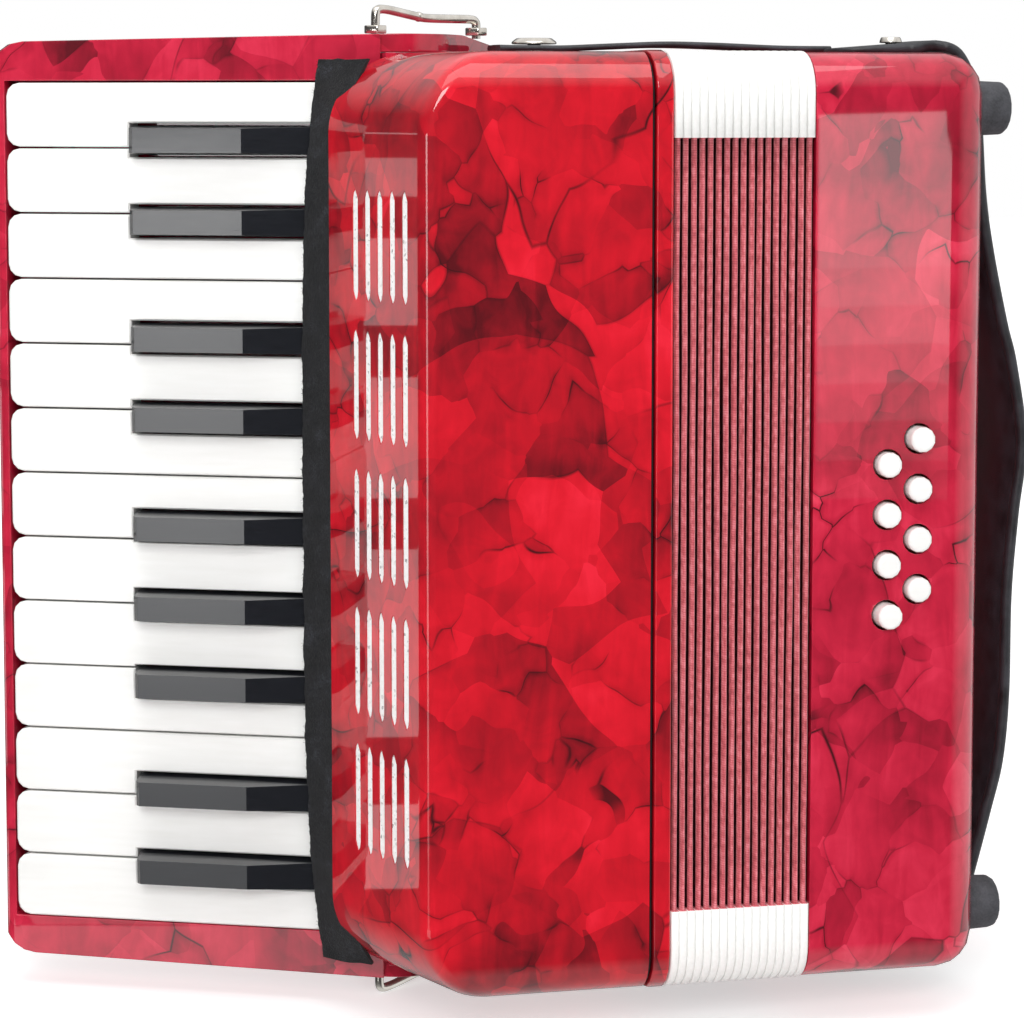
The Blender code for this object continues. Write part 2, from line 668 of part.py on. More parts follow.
def make_black_key(index, number, parent):
    middle = black_middle(index)
    side = [(-KEY_TAIL, -KEY_THICKNESS), (BLACK_FRONT, -KEY_THICKNESS), (BLACK_FRONT, 0.0),
            (BLACK_FRONT - 1.0, BLACK_HEIGHT - 1.6), (BLACK_FRONT - 2.4, BLACK_HEIGHT),
            (BLACK_STEP, BLACK_HEIGHT), (-1.0, BLACK_TAIL_HEIGHT), (-KEY_TAIL, 0.0)]
    bm = prism(side, "Z", middle - BLACK_WIDTH / 2, middle + BLACK_WIDTH / 2)
    for vert in bm.verts:
        rise = min(max(vert.co.y, 0.0) / BLACK_HEIGHT, 1.0)
        width = BLACK_WIDTH + (BLACK_TOP_WIDTH - BLACK_WIDTH) * rise
        vert.co.z = middle + math.copysign(width / 2, vert.co.z - middle)
    key = add_piece(f"black_key_{number:02d}", tilt_to_keyboard(bm), "black_keys", parent, (*PIVOT, middle))
    add_lever(key, middle, BLACK_ROW)
    return key


def make_keys(parent):
    for index in range(WHITE_COUNT):
        make_white_key(index, parent)
    for number, index in enumerate(sorted(BLACK_AFTER), 1):
        make_black_key(index, number, parent)


def make_key_axle(parent):
    reach = KEYS_HALF + 6.0
    return add_piece("key_axle", rod(AXLE_RADIUS, "Z", (*PIVOT, 0), -reach, reach), "steel", parent)


def frame_outlines():
    """Plan of the sloping wing, plan of the cheeks over the box, and the front view that both fill."""
    deep = FRAME_SINK + KEY_THICKNESS + KEY_DIP + 1.5 + FRAME_BASE
    tip = KEY_LENGTH + 1.0 + FRAME_EDGE
    meet = TREBLE_LEFT - FIT
    slope = ALONG.y / ALONG.x

    def at_meet(up):
        x, y = on_key(0.0, up)
        return meet, y + (meet - x) * slope

    wing = rounded([on_key(tip, -FRAME_SINK), on_key(tip, -deep), at_meet(-deep), at_meet(-FRAME_SINK)],
                   [3.0, 5.0, 0.0, 0.0], 3)
    front = at_meet(-FRAME_SINK)
    reach = TREBLE_LEFT + CHEEK_REACH
    cheek = [(meet - 4.0, front[1] + 4.0 - FRAME_SINK), (meet + 9.0, front[1] - 1.0),
             (meet + 21.0, front[1] + 6.0), (BAIL_RIGHT[0] - 1.5, CLOSURE_BACK + CLOSURE_WIDTH / 2 - 1.0),
             (reach - 7.0, BAIL_RIGHT[1] + 11.0), (reach, CHEEK_BACK - 22.0), (reach - 3.0, CHEEK_BACK),
             (meet - 4.0, CHEEK_BACK)]
    plan = rounded(cheek, [0.0, 12.0, 14.0, 6.0, 14.0, 10.0, 3.0, 2.0], 4)
    left = on_key(tip, -FRAME_SINK)[0] + 0.3
    low, high = KEYS_HALF + FRAME_END - FRAME_SWELL, KEYS_HALF + FRAME_END
    lip = HALF + FIT + 0.6
    view = rounded([(left, -low), (-70.0, -high), (-45.0, -high), (reach + 1.0, -lip),
                    (reach + 1.0, lip), (-45.0, high), (-70.0, high), (left, low)],
                   [FRAME_CORNER, 30.0, 20.0, 0.0, 0.0, 20.0, 30.0, FRAME_CORNER], 4)
    return wing, plan, view


def make_keyboard_frame(parent):
    """The tray that carries the keys, with cheeks at both ends that run over the treble box."""
    wing, plan, view = frame_outlines()
    tall, room = KEYS_HALF + FRAME_END + 10.0, HALF + FIT
    frame = add_piece("keyboard_frame", prism(wing, "Z", -tall, tall), "pearloid", parent)
    plates = prism(plan, "Z", room, tall)
    join(frame, "cheeks", prism(plan, "Z", -tall, -room, plates))
    combine(frame, "front_view", prism(view, "Y", 0.0, CASE_DEPTH), "INTERSECT")
    bay_half = KEYS_HALF + FIT
    deep = KEY_THICKNESS + KEY_DIP + 1.5
    end = KEY_LENGTH + 1.0
    bay = prism([(-60.0, 20.0), (end, 20.0), (end, -deep), (-60.0, -deep)], "Z", -bay_half, bay_half)
    cut(frame, "key_bay", tilt_to_keyboard(bay))
    seat = (AXLE_RADIUS + BORE_PLAY) / math.cos(math.pi / 12)
    cut(frame, "axle_seats", rod(seat, "Z", (*PIVOT, 0), -KEYS_HALF - 6.5, KEYS_HALF + 6.5))
    return frame


# Bass side

def make_bass_box(parent):
    low, high = (BASS_LEFT, 0.0, -HALF), (BASS_RIGHT, CASE_DEPTH, HALF)
    box = add_piece("bass_box", open_ended_block(low, high, CASE_RADIUS), "pearloid", parent)
    wall = CASE_WALL
    near = (BASS_LEFT - 5.0, wall, -HALF + wall)
    far = (BASS_RIGHT - END_THICKNESS, CASE_DEPTH - wall, HALF - wall)
    inside = open_ended_block(near, far, CASE_RADIUS - wall, 3)
    cut(box, "bass_hollow", inside)
    ledge = PLATE_INSET + PLATE_LEDGE
    opening = rectangle(ledge, CASE_DEPTH - ledge, HALF - ledge, 3.0)
    cut(box, "end_opening", prism(opening, "X", BASS_RIGHT - END_THICKNESS - 5.0, BASS_RIGHT + 5.0))
    recess = rectangle(PLATE_INSET, CASE_DEPTH - PLATE_INSET, HALF - PLATE_INSET, 6.0)
    cut(box, "plate_recess", prism(recess, "X", BASS_RIGHT - PLATE_THICKNESS, BASS_RIGHT + 5.0))
    holes = bmesh.new()
    for x, z in button_places():
        rod(BUTTON_HOLE_RADIUS, "Y", (x, 0, z), -5.0, CASE_WALL + 5.0, 16, holes)
    cut(box, "button_holes", holes)
    screws = bmesh.new()
    for side in (-1, 1):
        ends = sorted((side * (HALF - 6.0), side * (HALF + 6.0)))
        rod(SCREW_RADIUS + 0.2, "Z", (*screw_place(), 0), *ends, 12, screws)
    return cut(box, "strap_screw_holes", screws)


def make_end_plate(parent):
    inset = PLATE_INSET + FIT
    outline = rectangle(inset, CASE_DEPTH - inset, HALF - inset, 6.0 - FIT)
    plate = add_piece("bass_end_plate", prism(outline, "X", BASS_RIGHT - PLATE_THICKNESS + FIT, BASS_RIGHT),
                      "pearloid", parent)
    hole = rod(AIR_BUTTON_RADIUS + FIT, "X", (0, AIR_BUTTON_BACK, AIR_BUTTON_HEIGHT),
               BASS_RIGHT - 8.0, BASS_RIGHT + 5.0, 16)
    return cut(plate, "air_button_hole", hole)


def button_places():
    """X and Z of the eight bass buttons, in two staggered columns, right column first."""
    right = BASS_RIGHT - BUTTON_RIGHT_IN
    columns = ((right, BUTTON_TOP), (right - BUTTON_COLUMN_GAP, BUTTON_TOP - BUTTON_STAGGER))
    return [(x, top - row * BUTTON_PITCH) for row in range(4) for x, top in columns]


def make_bass_buttons(parent):
    places = button_places()
    for number, (x, z) in enumerate(places, 1):
        face = -BUTTON_PROUD - (BUTTON_EXTRA if number in (1, len(places)) else 0.0)
        radius, stem = BUTTON_RADIUS, BUTTON_STEM_RADIUS
        shoulder = GUIDE_DEPTH - BUTTON_TRAVEL - 1.5
        end = GUIDE_DEPTH + GUIDE_THICKNESS + 5.0
        profile = [(0, face), (radius - 0.8, face), (radius, face + 0.8), (radius, shoulder),
                   (stem, shoulder), (stem, end), (0, end)]
        add_piece(f"bass_button_{number}", turned(profile, "Y", (x, 0, z)), "white_keys", parent, (x, 0, z))


def make_button_board(parent):
    """The wooden strip inside the bass box that guides the buttons' stems."""
    x0, x1 = BASS_LEFT + 7.0 + FIT, BASS_RIGHT - END_THICKNESS - FIT
    places = button_places()
    top, bottom = places[0][1] + 15.0, places[-1][1] - 15.0
    outline = [(x0, bottom), (x1, bottom), (x1, top), (x0, top)]
    board = add_piece("button_board", prism(outline, "Y", GUIDE_DEPTH, GUIDE_DEPTH + GUIDE_THICKNESS),
                      "plywood", parent)
    holes = bmesh.new()
    back = GUIDE_DEPTH + GUIDE_THICKNESS
    for x, z in places:
        rod(BUTTON_STEM_RADIUS + 0.25, "Y", (x, 0, z), GUIDE_DEPTH - 2.0, back + 2.0, 12, holes)
    return cut(board, "stem_holes", holes)


def make_air_button(parent):
    centre = (0, AIR_BUTTON_BACK, AIR_BUTTON_HEIGHT)
    face = BASS_RIGHT + AIR_BUTTON_PROUD
    profile = [(0, BASS_RIGHT - 16.0), (3.0, BASS_RIGHT - 16.0), (3.0, BASS_RIGHT - 8.0),
               (AIR_BUTTON_RADIUS, BASS_RIGHT - 8.0), (AIR_BUTTON_RADIUS, face - 1.0),
               (AIR_BUTTON_RADIUS - 1.0, face), (0, face)]
    origin = (BASS_RIGHT, AIR_BUTTON_BACK, AIR_BUTTON_HEIGHT)
    return add_piece("air_button", turned(profile, "X", centre, 16), "white_keys", parent, origin)


def make_feet(parent):
    for number, (y, side) in enumerate([(FOOT_INSET, 1), (CASE_DEPTH - FOOT_INSET, 1),
                                        (FOOT_INSET, -1), (CASE_DEPTH - FOOT_INSET, -1)], 1):
        base, end = BASS_RIGHT + FIT, BASS_RIGHT + FIT + FOOT_LENGTH
        profile = [(0, base), (FOOT_RADIUS + 0.4, base), (FOOT_RADIUS, end - 1.5),
                   (FOOT_RADIUS - 1.5, end), (0, end)]
        centre = (0, y, side * (HALF - FOOT_DROP))
        add_piece(f"foot_{number}", turned(profile, "X", centre, 16), "rubber", parent)


# Straps, screws and bails

def screw_place():
    return BASS_RIGHT - SCREW_FROM_END, HAND_STRAP_MIDDLE


def hand_strap_route():
    """The strap's middle line in X and Z, from its lower tongue, out round the hand and up to the top."""
    rise = HALF + FIT + HAND_STRAP_THICKNESS / 2
    screw = screw_place()[0]
    tip = screw - TONGUE_LENGTH
    right, far = BASS_RIGHT, BASS_RIGHT + HAND_STRAP_BULGE
    lower = [(tip, -rise), (screw, -rise), (screw + 4.6, -rise), (right - 2.0, -rise - 0.2),
             (right + 5.0, -rise + 6.0), (right + 9.5, -HALF + 20.0)]
    bulge = [(right + 15.2, -97.0), (right + 19.0, -81.0), (far - 4.5, -60.0), (far - 4.2, -29.0),
             (far - 2.3, -4.0), (far, 18.6), (far - 3.6, 43.0), (far - 7.0, 56.0), (right + 13.4, 78.0)]
    upper = [(right + 10.6, 96.0), (right + 8.2, HALF - 14.0), (right + 3.2, HALF - 0.8),
             (right - 3.6, rise + 0.8), (screw + 4.6, rise), (screw, rise), (tip, rise)]
    return lower + bulge + upper


def make_hand_strap(parent):
    route = smooth_route(hand_strap_route(), 3)
    half = HAND_STRAP_WIDTH / 2
    strap = add_piece("hand_strap", prism(band(route, HAND_STRAP_THICKNESS), "Y", HAND_STRAP_MIDDLE - half,
                                          HAND_STRAP_MIDDLE + half), "leather", parent)
    neck = BASS_RIGHT - 2.0
    wide = half + 5.0
    tongue = 12.0
    cutter = bmesh.new()
    tip = screw_place()[0] - TONGUE_LENGTH - 5.0
    for side in (-1, 1):
        plan = [(tip, HAND_STRAP_MIDDLE + side * tongue), (neck - 8.0, HAND_STRAP_MIDDLE + side * tongue),
                (neck, HAND_STRAP_MIDDLE + side * wide), (tip, HAND_STRAP_MIDDLE + side * wide)]
        for low, high in ((HALF - 2.0, HALF + 12.0), (-HALF - 12.0, -HALF + 2.0)):
            prism(plan, "Z", low, high, cutter)
    cut(strap, "tongue_sides", cutter)
    holes = bmesh.new()
    for side in (-1, 1):
        low, high = sorted((side * (HALF - 3.0), side * (HALF + 12.0)))
        rod(SCREW_RADIUS + FIT, "Z", (*screw_place(), 0), low, high, 12, holes)
    return cut(strap, "screw_eyes", holes)


def make_strap_screws(parent):
    x, y = screw_place()
    seat = HALF + 2 * FIT + HAND_STRAP_THICKNESS
    for name, side in (("top", 1), ("bottom", -1)):
        top = seat + SCREW_HEAD_HEIGHT
        profile = [(0, HALF - 4.0), (SCREW_RADIUS, HALF - 4.0), (SCREW_RADIUS, seat),
                   (SCREW_HEAD_RADIUS, seat), (SCREW_HEAD_RADIUS - 0.6, top), (0, top)]
        flipped = [(radius, side * along) for radius, along in profile]
        add_piece(f"hand_strap_screw_{name}", turned(flipped, "Z", (x, y, 0)), "nickel", parent)


def closure_route(side):
    """Middle line of a bellows strap in X and Z, arched a little over the closed bellows."""
    rest = HALF + LIP_PROUD + FIT + 0.1 + CLOSURE_THICKNESS / 2
    right = BASS_LEFT + 29.0
    crest = rest + CLOSURE_ARCH
    flat_end = CLOSURE_LEFT + CAP_PLACE + CAP_RADIUS + 1.5
    line = [(CLOSURE_LEFT, rest), (CLOSURE_LEFT + CAP_PLACE, rest), (flat_end, rest),
            (2.0, rest + 0.6 * CLOSURE_ARCH), (18.0, crest), (34.0, rest + 0.7 * CLOSURE_ARCH),
            (BASS_LEFT + 12.0, rest + 0.1), (right, rest - 0.1)]
    return [(x, side * z) for x, z in line]


def closure_pivot(side):
    return closure_route(side)[-1]


def make_closure_strap(name, side, parent):
    """One bellows strap and the snap cap riveted to its left end."""
    x, z = closure_pivot(side)
    low, high = CLOSURE_BACK - CLOSURE_WIDTH / 2, CLOSURE_BACK + CLOSURE_WIDTH / 2
    route = smooth_route(closure_route(side), 3)
    strip = prism(band(route, CLOSURE_THICKNESS), "Y", low, high)
    pivot = (x, CLOSURE_BACK, z)
    strap = add_piece(f"closure_strap_{name}", strip, "leather", parent, pivot)
    centre = (CLOSURE_LEFT + CAP_PLACE, CLOSURE_BACK, 0)
    middle = HALF + LIP_PROUD + FIT + 0.1
    eye = rod(POST_RADIUS + FIT, "Z", centre, *sorted((side * (middle - 4.0), side * (middle + 6.0))))
    cut(strap, f"snap_eye_{name}", eye)
    seat = middle + CLOSURE_THICKNESS + FIT
    profile = [(0, middle + 0.2), (POST_RADIUS, middle + 0.2), (POST_RADIUS, seat), (CAP_RADIUS, seat),
               (CAP_RADIUS, seat + 0.7), (CAP_RADIUS - 1.6, seat + CAP_HEIGHT), (0, seat + CAP_HEIGHT)]
    flipped = [(radius, side * along) for radius, along in profile]
    return add_piece(f"snap_cap_{name}", turned(flipped, "Z", centre, 16), "nickel", parent, pivot)


def make_bail(name, side, parent):
    """A wire loop for a shoulder strap, with a nut at the foot of each leg."""
    foot = KEYS_HALF + FRAME_END + FIT
    bar = foot + BAIL_RISE - BAIL_WIRE
    left, right = Vector((*BAIL_LEFT, 0.0)), Vector((*BAIL_RIGHT, 0.0))
    along = (right - left).normalized()
    bend = [(1 - math.cos(a), math.sin(a)) for a in (0.0, math.pi / 6, math.pi / 3, math.pi / 2)]
    points = [left + Vector((0, 0, foot))]
    for leg, way, turn in ((left, along, bend), (right, -along, bend[::-1])):
        points += [leg + way * BAIL_BEND * u + Vector((0, 0, bar - BAIL_BEND * (1.0 - v))) for u, v in turn]
    points += [right + Vector((0, 0, foot))]
    curve = bpy.data.curves.new("bail_wire", "CURVE")
    curve.dimensions = "3D"
    curve.bevel_depth = BAIL_WIRE * MM
    curve.bevel_resolution = 2
    curve.use_fill_caps = True
    spline = curve.splines.new("POLY")
    spline.points.add(len(points) - 1)
    for target, point in zip(spline.points, points):
        target.co = (point.x * MM, point.y * MM, side * point.z * MM, 1.0)
    wire = bpy.data.objects.new("bail_wire", curve)
    bpy.context.scene.collection.objects.link(wire)
    mesh = bpy.data.meshes.new_from_object(wire.evaluated_get(bpy.context.evaluated_depsgraph_get()))
    bpy.data.objects.remove(wire, do_unlink=True)
    bm = bmesh.new()
    bm.from_mesh(mesh)
    bmesh.ops.remove_doubles(bm, verts=bm.verts, dist=0.00001)
    bmesh.ops.scale(bm, vec=(1 / MM, 1 / MM, 1 / MM), verts=bm.verts)
    bail = add_piece(f"bail_{name}", bm, "nickel", parent)
    for number, leg in enumerate((left, right), 1):
        low, high = sorted((side * foot, side * (foot + NUT_HEIGHT)))
        join(bail, f"nut_{name}_{number}", rod(NUT_RADIUS, "Z", (leg.x, leg.y, 0), low, high, 6))
    return bail


# Assembly

def treble_holes():
    """Soundboard openings under the pallets."""
    deep, wide = PALLET_DEPTH - 2 * HOLE_MARGIN, PALLET_WIDTH - 2 * HOLE_MARGIN
    holes = [(WHITE_ROW, sum(white_tail(i)) / 2, deep, wide) for i in range(WHITE_COUNT)]
    return holes + [(BLACK_ROW, black_middle(i), deep, wide) for i in BLACK_AFTER]


def make_treble_side(parent):
    make_treble_box(parent)
    inner = HOLLOW_INSET
    board = rectangle(inner + FIT, BACK_SEAM + TREBLE_WALL - FIT, HALF - inner - FIT, 3.0 - FIT)
    make_soundboard("treble_soundboard", parent, BOARD_X, board, treble_holes())
    block_start = BOARD_X + BOARD_THICKNESS + FIT
    make_reed_block("treble_reed_block", parent, block_start, block_start + TREBLE_BLOCK_LENGTH,
                    inner + BOARD_THICKNESS, BACK_SEAM - 2.0, HALF - inner - TREBLE_BLOCK_END,
                    TREBLE_BLOCK_CELLS)
    make_grille_cover(parent)
    make_grille_lining(parent)
    make_key_felt(parent)
    slack = (GASKET_SLIT - 2 * FIT) / 2
    middle = -LIP_WIDTH - GASKET_SLIT / 2
    make_ring("treble_gasket", "gasket", parent, case_outline(GASKET_INSET), rectangle(
        inner, CASE_DEPTH - TREBLE_WALL, HALF - inner, 3.0), middle - slack, middle + slack)
    make_treble_frame(parent)
    make_keyboard_frame(parent)
    make_key_axle(parent)
    make_keys(parent)
    make_bail("top", 1, parent)
    make_bail("bottom", -1, parent)


def make_bass_side(parent):
    make_bass_box(parent)
    make_end_plate(parent)
    wall = CASE_WALL + FIT
    board = rectangle(wall, CASE_DEPTH - wall, HALF - wall, CASE_RADIUS - wall)
    rows = (BASS_BLOCK_FRONT + BASS_HOLE_WIDTH * 0.7, BASS_BLOCK_BACK - BASS_HOLE_WIDTH * 0.7)
    heights = [BASS_BLOCK_HALF * share for share in (-0.72, -0.24, 0.24, 0.72)]
    holes = [(y, z, BASS_HOLE_WIDTH, BASS_HOLE_HEIGHT) for y in rows for z in heights]
    start = BASS_LEFT + 7.0 - BOARD_THICKNESS
    make_soundboard("bass_soundboard", parent, start, board, holes)
    make_reed_block("bass_reed_block", parent, start - FIT, start - FIT - BASS_BLOCK_LENGTH,
                    BASS_BLOCK_FRONT, BASS_BLOCK_BACK, BASS_BLOCK_HALF, BASS_BLOCK_CELLS)
    make_button_board(parent)
    make_bass_buttons(parent)
    make_air_button(parent)
    make_feet(parent)
    make_hand_strap(parent)
    make_strap_screws(parent)
    for name, side in (("top", 1), ("bottom", -1)):
        make_closure_strap(name, side, parent)


def stand_on_origin(root):
    """Move the whole part so that the origin is the middle of its lowest side."""
    bpy.context.view_layer.update()
    graph = bpy.context.evaluated_depsgraph_get()
    points = []
    for item in PARTS.objects:
        if item.type == "MESH":
            shape = item.evaluated_get(graph)
            points += [item.matrix_world @ Vector(corner) for corner in shape.bound_box]
    low = [min(p[i] for p in points) for i in range(3)]
    high = [max(p[i] for p in points) for i in range(3)]
    root.location = (-(low[0] + high[0]) / 2, -(low[1] + high[1]) / 2, -low[2])
    print("size in mm", [round((b - a) / MM, 2) for a, b in zip(low, high)])
    print("drawing zero in mm", [round(c / MM, 3) for c in root.location])
    print("key pivot in mm", [round(c, 3) for c in PIVOT], "closure pivot", closure_pivot(1))
    print("bass right edge", round(BASS_RIGHT, 3))


clear_scene()
PARTS = make_collection("piano_accordion")
TOOLS = make_collection("shaping_tools")
MATERIALS = {name: make_material(name) for name in COLOURS}
ROOT = make_empty("accordion")
make_treble_side(make_empty("treble_side", ROOT))
make_bellows(ROOT)
make_bass_side(make_empty("bass_side", ROOT))
stand_on_origin(ROOT)
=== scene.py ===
# %% [markdown]
# # A small piano accordion in red pearl celluloid
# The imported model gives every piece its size, its place and its motion. These cells dress it: they
# round its edges, wrap the casings in pearl celluloid, fold the bellows and cut the straps. Each step
# first says what the piece is on the real instrument and why it is made this way.

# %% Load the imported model
import math
import random

import bmesh
import bpy
from mathutils import Matrix, Vector, noise
from mathutils.bvhtree import BVHTree
from mathutils.interpolate import poly_3d_calc


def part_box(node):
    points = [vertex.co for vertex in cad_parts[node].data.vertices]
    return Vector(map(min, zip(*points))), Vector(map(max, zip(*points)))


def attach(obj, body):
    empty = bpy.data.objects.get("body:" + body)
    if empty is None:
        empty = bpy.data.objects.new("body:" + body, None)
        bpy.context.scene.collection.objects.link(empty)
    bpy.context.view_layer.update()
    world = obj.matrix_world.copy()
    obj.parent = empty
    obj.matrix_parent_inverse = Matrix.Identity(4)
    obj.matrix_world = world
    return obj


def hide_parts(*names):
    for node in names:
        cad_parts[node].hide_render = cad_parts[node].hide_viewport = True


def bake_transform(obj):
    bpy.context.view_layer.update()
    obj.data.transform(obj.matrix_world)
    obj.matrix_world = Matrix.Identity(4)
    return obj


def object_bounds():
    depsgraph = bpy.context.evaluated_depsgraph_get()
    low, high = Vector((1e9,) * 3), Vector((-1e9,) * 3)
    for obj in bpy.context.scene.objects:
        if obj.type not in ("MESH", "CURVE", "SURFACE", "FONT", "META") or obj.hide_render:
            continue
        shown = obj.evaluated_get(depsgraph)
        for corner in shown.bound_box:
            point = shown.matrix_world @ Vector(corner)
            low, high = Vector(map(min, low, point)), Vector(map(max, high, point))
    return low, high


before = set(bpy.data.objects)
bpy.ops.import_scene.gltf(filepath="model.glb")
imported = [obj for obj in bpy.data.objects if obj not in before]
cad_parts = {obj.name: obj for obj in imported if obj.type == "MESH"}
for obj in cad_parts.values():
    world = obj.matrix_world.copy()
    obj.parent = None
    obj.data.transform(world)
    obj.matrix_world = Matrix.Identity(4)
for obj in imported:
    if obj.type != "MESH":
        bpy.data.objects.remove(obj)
CAD_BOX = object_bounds()
MM = 0.001
random.seed(22)

# %% [markdown]
# ## The drawing frame
# An instrument maker measures an accordion from its bellows. So the cells below work in millimetres
# from there: X runs to the bass side from the bellows' left end, Y runs back from the casings' front
# faces, and Z runs up from the middle of their height. Only one helper knows where that zero lies in
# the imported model, which keeps every other number a plain length.

# %% Drawing frame
_, lip_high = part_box("treble_bellows_frame")
bass_low, bass_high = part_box("bass_box")
ZERO = Vector((lip_high.x, bass_low.y, (bass_low.z + bass_high.z) / 2))


def at(x, y, z):
    """A point of the drawing, in millimetres, as a point of the model, in metres."""
    return ZERO + Vector((x, y, z)) * MM


def extent(node):
    """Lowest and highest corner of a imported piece, in millimetres of the drawing."""
    low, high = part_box(node)
    return (low - ZERO) / MM, (high - ZERO) / MM


BASS_LOW, BASS_HIGH = extent("bass_box")
BELLOWS_LOW, BELLOWS_HIGH = extent("bellows")
HALF = BASS_HIGH.z
DEPTH = BASS_HIGH.y
CASE_RADIUS = 12.0
print("casings", round(2 * HALF, 1), "mm high and", round(DEPTH, 1), "mm deep")

# %% [markdown]
# ## Camera
# The instrument was photographed from a little left of its middle and slightly above it, with a long
# lens. Its upright edges stay nearly parallel, as with a shift lens, so the picture is slid a little
# and the camera tilts less. The lens is given by its focal length in pixels.

# %% Camera
SENSOR = 36.0
PICTURE = (1024, 1018)
FOCAL_PIXELS = 3039.5
SLIDE = -0.12                         # in picture widths
YAW = math.radians(13.231)
PITCH = math.radians(5.328)
CAMERA_PLACE = (-246.07, -842.9, 123.67)

camera = bpy.data.objects.new("camera", bpy.data.cameras.new("camera"))
bpy.context.scene.collection.objects.link(camera)
bpy.context.scene.camera = camera
camera.data.sensor_width = SENSOR
camera.data.lens = FOCAL_PIXELS / PICTURE[0] * SENSOR
camera.data.shift_y = SLIDE
camera.data.clip_start = 0.05
camera.data.clip_end = 50.0
camera.location = at(*CAMERA_PLACE)
camera.rotation_euler = (math.radians(90.0) - PITCH, 0.0, -YAW)
print("lens", round(camera.data.lens, 1), "mm")

# %% [markdown]
# ## Helpers for materials
# A material is a small graph of nodes. One function adds a node, sets it and links it, so that each
# recipe below reads from top to bottom. Colours are written as in a paint program and turned to linear
# light. Every pattern's size is a length in millimetres.

# %% Material helpers
NOISE, CELLS, WAVES = "ShaderNodeTexNoise", "ShaderNodeTexVoronoi", "ShaderNodeTexWave"
MATH, VECTOR, RANGE = "ShaderNodeMath", "ShaderNodeVectorMath", "ShaderNodeMapRange"
MAPPING, RAMP, SPLIT = "ShaderNodeMapping", "ShaderNodeValToRGB", "ShaderNodeSeparateColor"
BUMP, MIX = "ShaderNodeBump", "ShaderNodeMix"
WAVE_TURNS = math.tau / 20.0          # a wave texture makes 20 radians of wave per unit of its scale


def linear(code):
    """An sRGB hex colour as linear RGBA."""
    channels = [int(code[i:i + 2], 16) / 255.0 for i in (0, 2, 4)]
    bent = [c / 12.92 if c <= 0.04045 else ((c + 0.055) / 1.055) ** 2.4 for c in channels]
    return (*bent, 1.0)


def add(tree, kind, sockets=None, to=None, stops=(), **settings):
    """Add a node. Its sockets take values, outputs or nodes, of which the first output counts.

    The node's own first output goes to a socket. Stops are a ramp's places and hex colours.
    """
    made = tree.nodes.new(kind)
    for name, value in settings.items():
        setattr(made, name, value)
    for name, value in (sockets or {}).items():
        source = value.outputs[0] if isinstance(value, bpy.types.Node) else value
        if isinstance(source, bpy.types.NodeSocket):
            tree.links.new(source, made.inputs[name])
        else:
            made.inputs[name].default_value = source
    if stops:
        elements = made.color_ramp.elements
        while len(elements) < len(stops):
            elements.new(0.5)
        for element, (place, code) in zip(elements, stops):
            element.position = place
            element.color = linear(code)
    if to is not None:
        tree.links.new(made.outputs[0], to)
    return made


def new_material(name, **values):
    """A material with its tree, its shader's sockets and the piece's own coordinates."""
    made = bpy.data.materials.new(name)
    made.use_nodes = True
    tree = made.node_tree
    skin = tree.nodes["Principled BSDF"].inputs
    for socket, value in values.items():
        skin[socket.replace("_", " ")].default_value = value
    place = add(tree, "ShaderNodeTexCoord").outputs["Object"]
    return made, tree, skin, place


def per_mm(length):
    """Texture scale that gives one feature every so many millimetres."""
    return 1.0 / (length * MM)


def relief(height, depth, strength):
    """What a bump node needs for a relief of so many millimetres."""
    return {"Height": height, "Distance": depth * MM, "Strength": strength}


# %% [markdown]
# ## Pearl celluloid
# The casings are wood wrapped in celluloid sheet. Fish-scale pearl was kneaded into the sheet while
# it was soft and then pulled, so it looks like torn patches of foil under glass. Each patch has a
# tone of its own, and painted light makes it lighter to one side and darker to the other, as if its
# facet were lit from there. Soft dark creases run where patches meet, strong in places and gone in
# others: each is the foil's own fold line, darkened further with painted shade and edged by a painted
# shadow. Two sizes of patch are laid over each other, over a slow cloud and over streaks along the
# pull. The relief belongs to the foil under the polish, so the base itself is dull and a clear coat
# shines.

# %% Pearl celluloid
PATCHES = [
    # size in mm, turn, place in the sheet, sway, tone, painted shading to one side, width of the crease,
    # width of its painted shadow
    (46.0, (12.0, 25.0, 8.0), 0.9, 0.9, 0.10, 0.6, 0.016, 0.14),
    (19.0, (8.0, 55.0, 15.0), 2.2, 1.0, 0.20, 0.4, 0.028, 0.16),
]
MIDDLE_GREY = (0.5, 0.5, 0.5)
PULL_ANGLE, PULL_STRETCH = math.radians(24.0), 4.0
LIGHT_START = -0.29
# How much the painted shadow beside a crease darkens the tone.
SHADOW_DEPTH = -0.2


def bent_place(tree, place, size, turn, seed, sway):
    """The place on the sheet, turned and swayed, so that patches don't line up with the casing."""
    turned = add(tree, MAPPING, {"Vector": place, "Location": (seed, seed * 0.6, -seed),
                                 "Rotation": tuple(math.radians(a) for a in turn)})
    cloud = add(tree, NOISE, {"Vector": turned, "Scale": per_mm(size * 1.6), "Detail": 2.0})
    centred = add(tree, VECTOR, {0: cloud.outputs["Color"], 1: MIDDLE_GREY}, operation="SUBTRACT")
    far = add(tree, VECTOR, {0: centred, "Scale": size * sway * MM}, operation="SCALE")
    return add(tree, VECTOR, {0: turned, 1: far}, operation="ADD")


